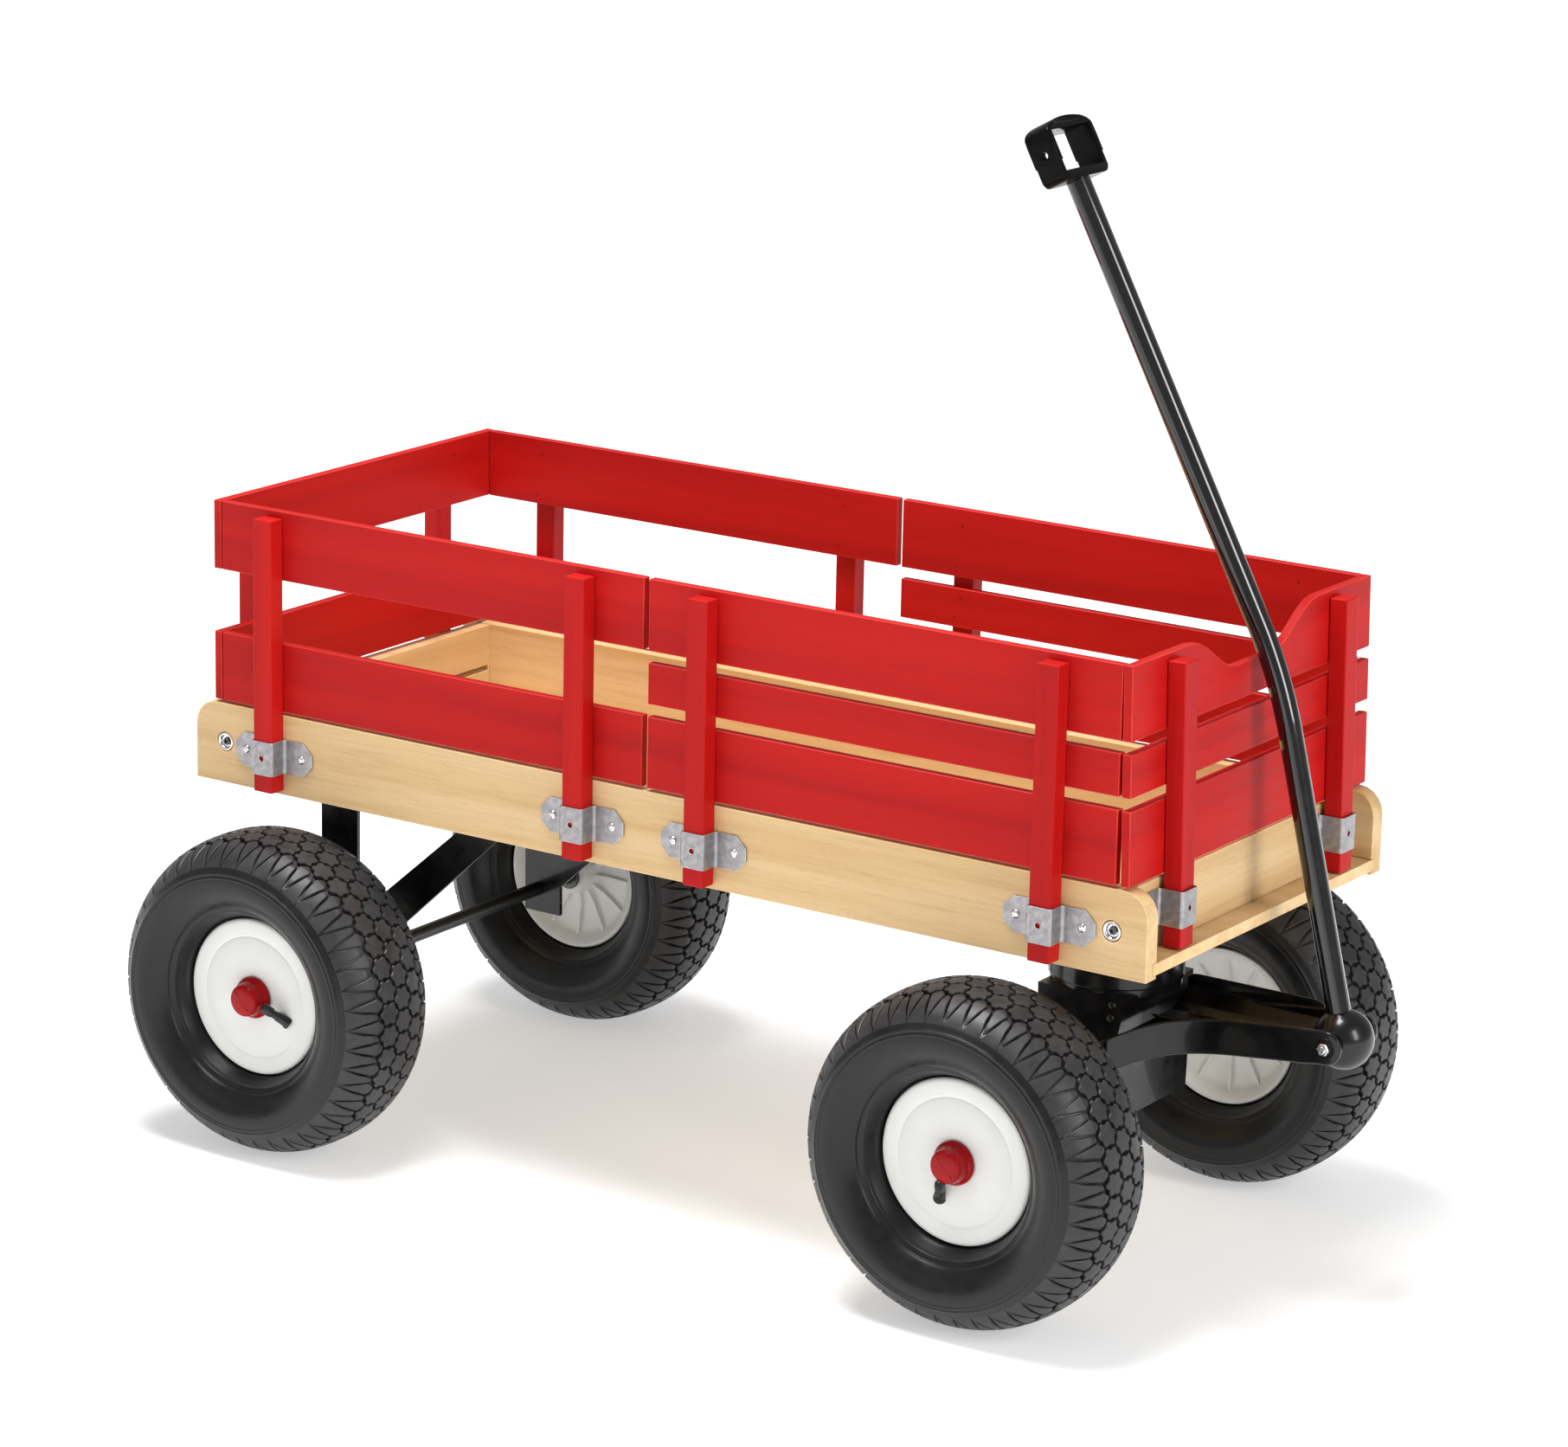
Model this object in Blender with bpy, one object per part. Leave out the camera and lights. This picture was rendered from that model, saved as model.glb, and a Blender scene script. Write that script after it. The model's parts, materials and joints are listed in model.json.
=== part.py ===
"""Child's stake-side pull wagon: wooden tray, lift-off rail panels, four air tyres, steered front axle, bent handle.

Metres. +X is forward (the handle end), +Y is the wagon's left, +Z is up and the ground is z = 0. Lengths along X are
measured from the middle of the tray; the empty "wagon" then shifts everything so that the origin is under the
middle of the whole object.
"""

import math

import bmesh
import bpy
from mathutils import Matrix, Vector

# Tray
TRAY_LENGTH = 0.914
TRAY_WIDTH = 0.369
BOARD_BOTTOM = 0.290
BOARD_HEIGHT = 0.068
BOARD_THICKNESS = 0.0155
BOARD_CORNER_RADIUS = 0.021
DECK_BOTTOM = 0.293
DECK_THICKNESS = 0.0095
RABBET_DEPTH = 0.005
FLOOR_RISE = 0.0003
END_BOARD_THICKNESS = 0.016
END_FACE_X = 0.4365
REAR_SLOT_HEIGHT = 0.005
REAR_SLOT_BELOW_TOP = 0.036
BOLT_RECESS_RADIUS = 0.0085
BOLT_RECESS_DEPTH = 0.004
BOLT_X = 0.4262
BOLT_Z = 0.325
FIT_GAP = 0.0004
TOUCH_GAP = 0.0003

# Rail panels
RAIL_THICKNESS = 0.0075
PANEL_GAP = 0.005
RAIL_END_GAP = 0.0012
RAIL_SPANS = {"upper": (0.4714, 0.5289), "middle": (0.4285, 0.4617), "lower": (0.3606, 0.4185)}
STAKE_WIDTH = 0.019
STAKE_THICKNESS = 0.0155
STAKE_TOP = 0.5235
SIDE_STAKE_BOTTOM = 0.294
SIDE_STAKES_X = (0.0585, 0.373)
END_STAKE_Y = 0.125
SCALLOP_BOTTOM = 0.4985
SCALLOP_FLAT_HALF = 0.027
SCALLOP_HALF = 0.098
FRONT_LEAN = 1.4
FRONT_LEAN_TOP = 0.500

# Stake clips
CLIP_SHEET = 0.0015
CLIP_HALF_LENGTH = 0.0403
CLIP_HEIGHT = 0.0285
CLIP_CHAMFER = 0.009
CLIP_MIDDLE_Z = 0.3233
FRONT_CLIP_MIDDLE_Z = 0.335

# Wheels
TYRE_RADIUS = 0.135
TYRE_SEGMENTS = 28
RIM_SEGMENTS = 24
FRONT_AXLE_X = 0.3255
REAR_AXLE_X = -0.345
FRONT_WHEEL_Y = 0.204
REAR_WHEEL_Y = 0.219
AXLE_RADIUS = 0.006
AXLE_STUB = 0.0325
BORE_RADIUS = 0.0063
HUB_RADIUS = 0.017
HUB_INNER_END = 0.030
WASHER_RADIUS = 0.011
WASHER_THICKNESS = 0.0038

# Rear axle bracket
BRACKET_SHEET = 0.004
BRACKET_HALF_WIDTH = 0.1436
UPRIGHT_X = -0.3385
UPRIGHT_HALF = 0.019
BRACKET_FOOT_Z = 0.115
BRACE_RISE = 0.026
BRACE_TOP_X = -0.154
BRACE_WIDTH = 0.044
BRACKET_PLATE_SHEET = 0.003

# Steering
BOLSTER_BOTTOM = 0.228
BOLSTER_RADIUS = 0.054
BOLSTER_FLANGE_RADIUS = 0.070
KINGPIN_RADIUS = 0.008
KINGPIN_LENGTH = 0.030
FORK_DISC_RADIUS = 0.0525
FORK_SHEET = 0.003
FORK_TOP_HALF = (0.040, 0.052)
FORK_FOOT_HALF = (0.026, 0.072)
FORK_FOOT_Z = 0.118

# Tongue and handle
PIVOT_X = 0.5275
PIVOT_Z = 0.213
BALL_RADIUS = 0.0238
ARM_SHEET = 0.004
ARM_HEIGHT = 0.0285
ARM_TOP = 0.2262
ARM_TOP_X = 0.511
ARM_SLOPE = 0.115
ARM_BOW_START = 0.410
ARM_BOW = 4.6
ARM_NOSE_Y = 0.0265
ARM_TAIL_Y = 0.0716
ARM_SPLAY_START = 0.445
ARM_TAIL_X = 0.3605
ARM_NOSE_RADIUS = 0.0135
TONGUE_TAIL_X = 0.3705
TONGUE_NOSE_X = 0.4965
TONGUE_FLOOR_SHEET = 0.003
RIB_Y = (0.0255, 0.0285)
RIB_TOP = 0.2285
TUBE_RADIUS = 0.0095
TUBE_WALL = 0.0016
BEND_X = 0.4588
BEND_Z = 0.4872
TUBE_TOP_X = 0.2650
TUBE_TOP_Z = 0.8450
BEND_TANGENT = 0.045
PIN_RADIUS = 0.0042
GRIP_LENGTH = 0.0495
GRIP_WIDTH = 0.064
GRIP_DEPTH = 0.027
GRIP_WALL = 0.0065
GRIP_FOOT = 0.008

REAR_REACH = TYRE_RADIUS - REAR_AXLE_X
FRONT_REACH = PIVOT_X + BALL_RADIUS
ORIGIN_X = (REAR_REACH - FRONT_REACH) / 2


def clear_scene():
    for item in list(bpy.data.objects):
        bpy.data.objects.remove(item, do_unlink=True)


def make_material(name, colour, roughness, metallic):
    material = bpy.data.materials.new(name)
    material.use_nodes = True
    shader = material.node_tree.nodes["Principled BSDF"]
    shader.inputs["Base Color"].default_value = (*colour, 1.0)
    shader.inputs["Roughness"].default_value = roughness
    shader.inputs["Metallic"].default_value = metallic
    return material


def make_empty(name, location, parent=None):
    empty = bpy.data.objects.new(name, None)
    bpy.context.scene.collection.objects.link(empty)
    empty.location = location
    empty.parent = parent
    return empty


def add_mesh(name, shape, material, parent, location=(0, 0, 0), turn=0.0, smooth=False):
    """Turn a bmesh, or a mesh shared with another piece, into a named object."""
    if isinstance(shape, bmesh.types.BMesh):
        bmesh.ops.recalc_face_normals(shape, faces=shape.faces)
        mesh = bpy.data.meshes.new(name)
        shape.to_mesh(mesh)
        shape.free()
        mesh.materials.append(material)
    else:
        mesh = shape
    if smooth:
        mesh.shade_smooth()
        mesh.set_sharp_from_angle(angle=math.radians(35))
    item = bpy.data.objects.new(name, mesh)
    bpy.context.scene.collection.objects.link(item)
    item.parent = parent
    item.location = location
    item.rotation_euler = (0, 0, turn)
    return item


def box_shape(low, high):
    """A box given by two corners, built round its own middle."""
    shape = bmesh.new()
    size = [top - bottom for bottom, top in zip(low, high)]
    bmesh.ops.create_cube(shape, size=1, matrix=Matrix.Diagonal((*size, 1)))
    return shape


def add_box(name, low, high, material, parent):
    middle = [(bottom + top) / 2 for bottom, top in zip(low, high)]
    return add_mesh(name, box_shape(low, high), material, parent, location=middle)


def prism_shape(outline, start, end, axis):
    """An outline extruded along X, Y or Z; its two coordinates are the other two axes, in X, Y, Z order."""
    shape = bmesh.new()
    others = [index for index in range(3) if index != axis]
    rings = []
    for level in (start, end):
        ring = []
        for first, second in outline:
            point = [0.0, 0.0, 0.0]
            point[axis] = level
            point[others[0]] = first
            point[others[1]] = second
            ring.append(shape.verts.new(point))
        rings.append(ring)
    bridge_rings(shape, rings, closed=True)
    shape.faces.new(rings[0])
    shape.faces.new(rings[1])
    return shape


def bridge_rings(shape, rings, closed):
    """Join neighbouring rings of vertices with faces; a ring of one vertex is a point on the axis."""
    for lower, upper in zip(rings, rings[1:]):
        count = max(len(lower), len(upper))
        steps = count if closed else count - 1
        for index in range(steps):
            after = (index + 1) % count
            corners = []
            for ring, place in ((lower, index), (lower, after), (upper, after), (upper, index)):
                vertex = ring[place % len(ring)]
                if vertex not in corners:
                    corners.append(vertex)
            shape.faces.new(corners)


def lathe_shape(profile, segments, axis, ring=False, phase=0.0):
    """Turn (radius, height) points about Y or Z; a ring profile closes on itself, others start and end on the axis."""
    shape = bmesh.new()
    rings = []
    for radius, height in profile:
        circle = []
        for index in range(segments if radius > 0 else 1):
            angle = 2 * math.pi * (index + phase) / segments
            across = radius * math.cos(angle)
            up = radius * math.sin(angle)
            point = (across, height, up) if axis == "Y" else (across, up, height)
            circle.append(shape.verts.new(point))
        rings.append(circle)
    if ring:
        rings.append(rings[0])
    bridge_rings(shape, rings, closed=True)
    return shape


def boolean(item, tool, operation):
    modifier = item.modifiers.new(tool.name, "BOOLEAN")
    modifier.operation = operation
    modifier.object = tool
    modifier.solver = "EXACT"
    tool.hide_render = True
    tool.display_type = "WIRE"


def side_frame(side, along, out):
    """X and Y of a point on a side of the tray: how far along the side, and how far out from the middle."""
    return {"right": (along, -out), "left": (along, out), "front": (out, along), "rear": (-out, along)}[side]


def side_box(name, side, along, out, height, material, parent):
    first = side_frame(side, along[0], out[0])
    second = side_frame(side, along[1], out[1])
    low = (min(first[0], second[0]), min(first[1], second[1]), height[0])
    high = (max(first[0], second[0]), max(first[1], second[1]), height[1])
    return add_box(name, low, high, material, parent)


def build_deck(wood, wagon):
    """Plywood deck, with a thin step round the floor so that the floor inside the boards is a face of its own."""
    half_width = TRAY_WIDTH / 2 - BOARD_THICKNESS + RABBET_DEPTH - TOUCH_GAP
    top = DECK_BOTTOM + DECK_THICKNESS
    low = (-TRAY_LENGTH / 2, -half_width, DECK_BOTTOM)
    high = (TRAY_LENGTH / 2, half_width, top)
    deck = add_box("deck", low, high, wood, wagon)
    floor_x = END_FACE_X - END_BOARD_THICKNESS - FIT_GAP
    floor_y = TRAY_WIDTH / 2 - BOARD_THICKNESS - FIT_GAP
    under_floor = (-floor_x, -floor_y, top - DECK_THICKNESS / 2)
    floor = add_box("floor_step", under_floor, (floor_x, floor_y, top + FLOOR_RISE), wood, wagon)
    boolean(deck, floor, "UNION")


def board_outline():
    """Side board seen from the side: square at the bottom, both top corners rounded."""
    half = TRAY_LENGTH / 2
    top = BOARD_BOTTOM + BOARD_HEIGHT
    points = [(-half, BOARD_BOTTOM), (half, BOARD_BOTTOM)]
    for centre_x, first_angle in ((half - BOARD_CORNER_RADIUS, 0), (BOARD_CORNER_RADIUS - half, 90)):
        for step in range(6):
            angle = math.radians(first_angle + 18 * step)
            x = centre_x + BOARD_CORNER_RADIUS * math.cos(angle)
            z = top - BOARD_CORNER_RADIUS + BOARD_CORNER_RADIUS * math.sin(angle)
            points.append((x, z))
    return points


def build_side_board(side, wood, wagon):
    outer = TRAY_WIDTH / 2
    inner = outer - BOARD_THICKNESS
    facing = 1 if side == "left" else -1
    board = add_mesh(f"side_board_{side}", prism_shape(board_outline(), facing * inner, facing * outer, 1), wood, wagon)
    deck_top = DECK_BOTTOM + DECK_THICKNESS
    groove = side_box(
        f"groove_{side}",
        side,
        (-TRAY_LENGTH, TRAY_LENGTH),
        (inner - 0.01, inner + RABBET_DEPTH),
        (DECK_BOTTOM - TOUCH_GAP, deck_top + TOUCH_GAP),
        wood,
        wagon,
    )
    boolean(board, groove, "DIFFERENCE")
    for end in (-1, 1):
        recess_profile = [(0, -BOLT_RECESS_DEPTH), (BOLT_RECESS_RADIUS, -BOLT_RECESS_DEPTH)]
        recess_profile += [(BOLT_RECESS_RADIUS, BOLT_RECESS_DEPTH), (0, BOLT_RECESS_DEPTH)]
        recess_shape = lathe_shape(recess_profile, 16, "Y")
        place = (end * BOLT_X, facing * outer, BOLT_Z)
        recess = add_mesh(f"bolt_recess_{side}_{end}", recess_shape, wood, wagon, location=place)
        boolean(board, recess, "DIFFERENCE")


def build_end_boards(wood, wagon):
    half_width = TRAY_WIDTH / 2 - BOARD_THICKNESS - TOUCH_GAP
    bottom = DECK_BOTTOM + DECK_THICKNESS + TOUCH_GAP
    top = BOARD_BOTTOM + BOARD_HEIGHT - 0.001
    out = (END_FACE_X - END_BOARD_THICKNESS, END_FACE_X)
    side_box("front_end_board", "front", (-half_width, half_width), out, (bottom, top), wood, wagon)
    rear = side_box("rear_end_board", "rear", (-half_width, half_width), out, (bottom, top), wood, wagon)
    slot_top = top - REAR_SLOT_BELOW_TOP
    slot_span = (-half_width + 0.002, half_width - 0.002)
    slot_out = (out[0] - 0.01, out[1] + 0.01)
    slot = side_box("rear_slot", "rear", slot_span, slot_out, (slot_top - REAR_SLOT_HEIGHT, slot_top), wood, wagon)
    boolean(rear, slot, "DIFFERENCE")


def scallop_outline():
    """Front upper rail seen from the front, with the dip that the handle leans back into."""
    half = TRAY_WIDTH / 2
    bottom, top = RAIL_SPANS["upper"]
    points = [(-half, bottom), (half, bottom), (half, top), (SCALLOP_HALF, top)]
    steps = 6
    ramp = SCALLOP_HALF - SCALLOP_FLAT_HALF
    for step in range(1, 2 * steps + 2):
        if step <= steps:
            y = SCALLOP_HALF - ramp * step / steps
        else:
            y = -SCALLOP_FLAT_HALF - ramp * (step - steps - 1) / steps
        rise = (abs(y) - SCALLOP_FLAT_HALF) / ramp
        z = SCALLOP_BOTTOM + (top - SCALLOP_BOTTOM) * (1 - math.cos(math.pi * rise)) / 2
        if rise < 1:
            points.append((y, z))
    points += [(-SCALLOP_HALF, top), (-half, top)]
    return points


def build_panel(name, side, along, stake_places, levels, paint, parent):
    """One lift-off panel: rails flush with the tray's outer face, and two stakes outside them."""
    on_end = side in ("front", "rear")
    face = END_FACE_X if on_end else TRAY_WIDTH / 2
    rail_out = (face - RAIL_THICKNESS, face)
    for level in levels:
        rail_name = f"{name}_rail_{level}"
        if name == "front_end" and level == "upper":
            shape = prism_shape(scallop_outline(), *rail_out, 0)
            add_mesh(rail_name, shape, paint, parent)
        else:
            side_box(rail_name, side, along, rail_out, RAIL_SPANS[level], paint, parent)
    stake_out = (face + FIT_GAP, face + FIT_GAP + STAKE_THICKNESS)
    stake_bottom = DECK_BOTTOM + DECK_THICKNESS + 0.001 if on_end else SIDE_STAKE_BOTTOM
    for number, place in enumerate(stake_places, start=1):
        stake_along = (place - STAKE_WIDTH / 2, place + STAKE_WIDTH / 2)
        stake_name = f"{name}_stake_{number}"
        side_box(stake_name, side, stake_along, stake_out, (stake_bottom, STAKE_TOP), paint, parent)


def build_panels(paint, wagon):
    side_end = END_FACE_X - RAIL_THICKNESS - RAIL_END_GAP
    half_gap = PANEL_GAP / 2
    for side in ("right", "left"):
        panel = make_empty(f"{side}_front_panel", (0, 0, 0), wagon)
        levels = ("upper", "middle", "lower")
        build_panel(f"{side}_front", side, (half_gap, side_end), SIDE_STAKES_X, levels, paint, panel)
        panel = make_empty(f"{side}_rear_panel", (0, 0, 0), wagon)
        stakes = [-place for place in SIDE_STAKES_X]
        build_panel(f"{side}_rear", side, (-side_end, -half_gap), stakes, ("upper", "lower"), paint, panel)
    across = (-TRAY_WIDTH / 2, TRAY_WIDTH / 2)
    stakes = (-END_STAKE_Y, END_STAKE_Y)
    front = make_empty("front_end_panel", (END_FACE_X, 0, FRONT_LEAN_TOP), wagon)
    front.rotation_euler = (0, math.radians(-FRONT_LEAN), 0)
    front_frame = make_empty("front_end_frame", (-END_FACE_X, 0, -FRONT_LEAN_TOP), front)
    build_panel("front_end", "front", across, stakes, ("upper", "middle", "lower"), paint, front_frame)
    rear = make_empty("rear_end_panel", (0, 0, 0), wagon)
    build_panel("rear_end", "rear", across, stakes, ("upper", "lower"), paint, rear)


def clip_shape(stake_lift):
    """Bent strap round a stake, seen from above as a hat, with the outer corners of both ears cut off."""
    pocket_half = STAKE_WIDTH / 2 + FIT_GAP
    pocket_out = stake_lift + STAKE_THICKNESS + 2 * FIT_GAP
    wall = pocket_half + CLIP_SHEET
    inner = [(-pocket_half, TOUCH_GAP), (-pocket_half, pocket_out), (pocket_half, pocket_out), (pocket_half, TOUCH_GAP)]
    right_ear = [(CLIP_HALF_LENGTH, TOUCH_GAP), (CLIP_HALF_LENGTH, TOUCH_GAP + CLIP_SHEET)]
    crown = [(wall, TOUCH_GAP + CLIP_SHEET), (wall, pocket_out + CLIP_SHEET)]
    outline = inner + right_ear + crown
    outline += [(-x, y) for x, y in reversed(right_ear + crown)]
    shape = prism_shape(outline, -CLIP_HEIGHT / 2, CLIP_HEIGHT / 2, 2)
    for along in (-1, 1):
        for up in (-1, 1):
            corner = Vector((along * (CLIP_HALF_LENGTH - CLIP_CHAMFER), 0, up * CLIP_HEIGHT / 2))
            outward = Vector((along, 0, up))
            whole = shape.verts[:] + shape.edges[:] + shape.faces[:]
            cut = bmesh.ops.bisect_plane(shape, geom=whole, plane_co=corner, plane_no=outward, clear_outer=True)
            edges = [item for item in cut["geom_cut"] if isinstance(item, bmesh.types.BMEdge)]
            bmesh.ops.edgeloop_fill(shape, edges=edges)
    return shape


def build_clips(zinc, wagon):
    turns = {"left": 0.0, "right": math.pi, "front": -math.pi / 2, "rear": math.pi / 2}
    side_places = (-SIDE_STAKES_X[1], -SIDE_STAKES_X[0], SIDE_STAKES_X[0], SIDE_STAKES_X[1])
    front_lift = (FRONT_LEAN_TOP - FRONT_CLIP_MIDDLE_Z + CLIP_HEIGHT / 2) * math.tan(math.radians(FRONT_LEAN))
    mesh = None
    for side, turn in turns.items():
        on_end = side in ("front", "rear")
        face = END_FACE_X if on_end else TRAY_WIDTH / 2
        places = (-END_STAKE_Y, END_STAKE_Y) if on_end else side_places
        for number, place in enumerate(places, start=1):
            x, y = side_frame(side, place, face)
            if side == "front":
                shape = clip_shape(front_lift)
                z = FRONT_CLIP_MIDDLE_Z
            else:
                shape = mesh if mesh else clip_shape(0)
                z = CLIP_MIDDLE_Z
            clip = add_mesh(f"stake_clip_{side}_{number}", shape, zinc, wagon, location=(x, y, z), turn=turn)
            if side != "front":
                mesh = clip.data


def tyre_profile():
    """Air tyre in section as (radius, distance from the wheel's middle): a casing that is open at the beads."""
    outer = [(0.0608, 0.0212), (0.0669, 0.0229), (0.0676, 0.0275), (0.0790, 0.0445), (0.0930, 0.0545)]
    outer += [(0.1050, 0.0558), (0.1190, 0.0495), (0.1290, 0.0355)]
    crown = TYRE_RADIUS / math.cos(math.pi / TYRE_SEGMENTS)
    inner = [(0.1240, 0.0290), (0.1080, 0.0455), (0.0900, 0.0450), (0.0740, 0.0340), (0.0608, 0.0150)]
    left = outer + [(crown, 0.0170)]
    right = [(radius, -place) for radius, place in reversed(left)]
    inside_right = [(radius, -place) for radius, place in reversed(inner)]
    return left + right + inside_right + inner


def rim_profile():
    """Moulded wheel in section: face disc with a hub, and a drum that carries the tyre's beads."""
    return [
        (BORE_RADIUS, 0.0280),
        (0.0645, 0.0280),
        (0.0665, 0.0262),
        (0.0665, 0.0236),
        (0.0600, 0.0220),
        (0.0560, 0.0120),
        (0.0560, -0.0120),
        (0.0600, -0.0220),
        (0.0665, -0.0236),
        (0.0665, -0.0270),
        (0.0620, -0.0270),
        (0.0520, -0.0140),
        (0.0520, 0.0235),
        (HUB_RADIUS, 0.0235),
        (HUB_RADIUS, -HUB_INNER_END),
        (BORE_RADIUS, -HUB_INNER_END),
    ]


def build_wheel(name, facing, rubber, plastic, parent, location):
    """A wheel on its own axis; facing is +1 where the face disc looks to the left."""
    hub = make_empty(f"{name}_wheel", location, parent)
    tyre = lathe_shape(tyre_profile(), TYRE_SEGMENTS, "Y", ring=True, phase=0.5)
    add_mesh(f"{name}_tyre", tyre, rubber, hub, smooth=True)
    profile = [(radius, facing * place) for radius, place in rim_profile()]
    rim = lathe_shape(profile, RIM_SEGMENTS, "Y", ring=True)
    add_mesh(f"{name}_rim", rim, plastic, hub, smooth=True)


def build_axle(name, wheel_y, material, parent, location):
    """Steel rod with a washer against the inner end of each hub."""
    end = wheel_y + AXLE_STUB
    washer = (wheel_y - HUB_INNER_END - WASHER_THICKNESS, wheel_y - HUB_INNER_END - FIT_GAP)
    half = [(0, end), (AXLE_RADIUS, end), (AXLE_RADIUS, washer[1])]
    half += [(WASHER_RADIUS, washer[1]), (WASHER_RADIUS, washer[0]), (AXLE_RADIUS, washer[0])]
    profile = half + [(radius, -place) for radius, place in reversed(half)]
    shape = lathe_shape(profile, 16, "Y")
    add_mesh(name, shape, material, parent, location=location, smooth=True)


def build_rear_bracket(steel, wagon):
    """Two side plates, each an upright with a sloping brace, under one plate screwed to the deck."""
    top = DECK_BOTTOM - TOUCH_GAP
    plate_low = (REAR_AXLE_X - 0.030, -BRACKET_HALF_WIDTH, top - BRACKET_PLATE_SHEET)
    plate_high = (BRACE_TOP_X, BRACKET_HALF_WIDTH, top)
    plate = add_box("rear_axle_bracket", plate_low, plate_high, steel, wagon)
    under = top - BRACKET_PLATE_SHEET / 2
    back = UPRIGHT_X - UPRIGHT_HALF
    front = UPRIGHT_X + UPRIGHT_HALF
    brace_foot = BRACKET_FOOT_Z + BRACE_RISE
    outline = [(back, BRACKET_FOOT_Z), (front, BRACKET_FOOT_Z), (front, brace_foot)]
    outline += [(BRACE_TOP_X - 0.004, under), (BRACE_TOP_X - BRACE_WIDTH, under), (front, brace_foot + BRACE_WIDTH)]
    outline += [(front, under), (back, under)]
    for side in (-1, 1):
        outer = side * BRACKET_HALF_WIDTH
        cheek_shape = prism_shape(outline, outer - side * BRACKET_SHEET, outer - side * TOUCH_GAP, 1)
        cheek = add_mesh(f"bracket_cheek_{side}", cheek_shape, steel, wagon)
        boolean(plate, cheek, "UNION")
    drill_profile = [(0, -0.2), (BORE_RADIUS, -0.2), (BORE_RADIUS, 0.2), (0, 0.2)]
    drill_shape = lathe_shape(drill_profile, 16, "Y")
    drill = add_mesh("bracket_drill", drill_shape, steel, wagon, location=(REAR_AXLE_X, 0, TYRE_RADIUS))
    boolean(plate, drill, "DIFFERENCE")


def build_bolster(steel, wagon):
    """Round turntable under the deck, with the kingpin that the steering turns on."""
    top = DECK_BOTTOM - TOUCH_GAP
    flange_bottom = top - BRACKET_PLATE_SHEET
    profile = [(0, top), (BOLSTER_FLANGE_RADIUS, top), (BOLSTER_FLANGE_RADIUS, flange_bottom)]
    profile.append((BOLSTER_RADIUS, flange_bottom))
    profile += [(BOLSTER_RADIUS, BOLSTER_BOTTOM), (KINGPIN_RADIUS, BOLSTER_BOTTOM)]
    profile += [(KINGPIN_RADIUS, BOLSTER_BOTTOM - KINGPIN_LENGTH), (0, BOLSTER_BOTTOM - KINGPIN_LENGTH)]
    shape = lathe_shape(profile, 28, "Z")
    add_mesh("front_bolster", shape, steel, wagon, location=(FRONT_AXLE_X, 0, 0), smooth=True)


def taper_shape(top_half, foot_half, top_z, foot_z):
    """A block whose rectangular foot and top differ in size."""
    shape = bmesh.new()
    rings = []
    for half, level in ((foot_half, foot_z), (top_half, top_z)):
        corners = [(-half[0], -half[1]), (half[0], -half[1]), (half[0], half[1]), (-half[0], half[1])]
        rings.append([shape.verts.new((x, y, level)) for x, y in corners])
    bridge_rings(shape, rings, closed=True)
    shape.faces.new(rings[0])
    shape.faces.new(rings[1])
    return shape


def build_fork(steel, steering):
    """Pressed saddle, open at the bottom, that turns under the bolster and carries the front axle."""
    top = BOLSTER_BOTTOM - TOUCH_GAP
    disc_bottom = top - 0.0055
    disc_profile = [(0, top), (FORK_DISC_RADIUS, top), (FORK_DISC_RADIUS, disc_bottom), (0, disc_bottom)]
    fork = add_mesh("steering_fork", lathe_shape(disc_profile, 28, "Z"), steel, steering, smooth=True)
    skirt_shape = taper_shape(FORK_TOP_HALF, FORK_FOOT_HALF, disc_bottom + 0.002, FORK_FOOT_Z)
    skirt = add_mesh("fork_skirt", skirt_shape, steel, steering)
    boolean(fork, skirt, "UNION")
    inner_top = [half - FORK_SHEET for half in FORK_TOP_HALF]
    inner_foot = [half - FORK_SHEET for half in FORK_FOOT_HALF]
    hollow_shape = taper_shape(inner_top, inner_foot, disc_bottom, FORK_FOOT_Z - 0.0001)
    hollow = add_mesh("fork_hollow", hollow_shape, steel, steering)
    boolean(fork, hollow, "DIFFERENCE")
    bore = KINGPIN_RADIUS + 0.0005
    pin_hole_profile = [(0, top - 0.02), (bore, top - 0.02), (bore, top + 0.02), (0, top + 0.02)]
    pin_hole = add_mesh("fork_pin_hole", lathe_shape(pin_hole_profile, 20, "Z"), steel, steering)
    boolean(fork, pin_hole, "DIFFERENCE")
    drill_profile = [(0, -0.2), (BORE_RADIUS, -0.2), (BORE_RADIUS, 0.2), (0, 0.2)]
    drill = add_mesh("fork_drill", lathe_shape(drill_profile, 16, "Y"), steel, steering, location=(0, 0, TYRE_RADIUS))
    boolean(fork, drill, "DIFFERENCE")


def arm_top(x):
    """Height of an arm's upper edge: highest at the nose, bowing down towards the axle."""
    behind = max(0.0, ARM_BOW_START - x)
    return ARM_TOP - ARM_SLOPE * max(0.0, ARM_TOP_X - x) - ARM_BOW * behind * behind


def arm_inner(x):
    """Distance of an arm's inner face from the middle: close together at the nose, wide at the axle."""
    share = min(1.0, max(0.0, (ARM_SPLAY_START - x) / (ARM_SPLAY_START - ARM_TAIL_X)))
    return ARM_NOSE_Y + (ARM_TAIL_Y - ARM_NOSE_Y) * share * share


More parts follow.
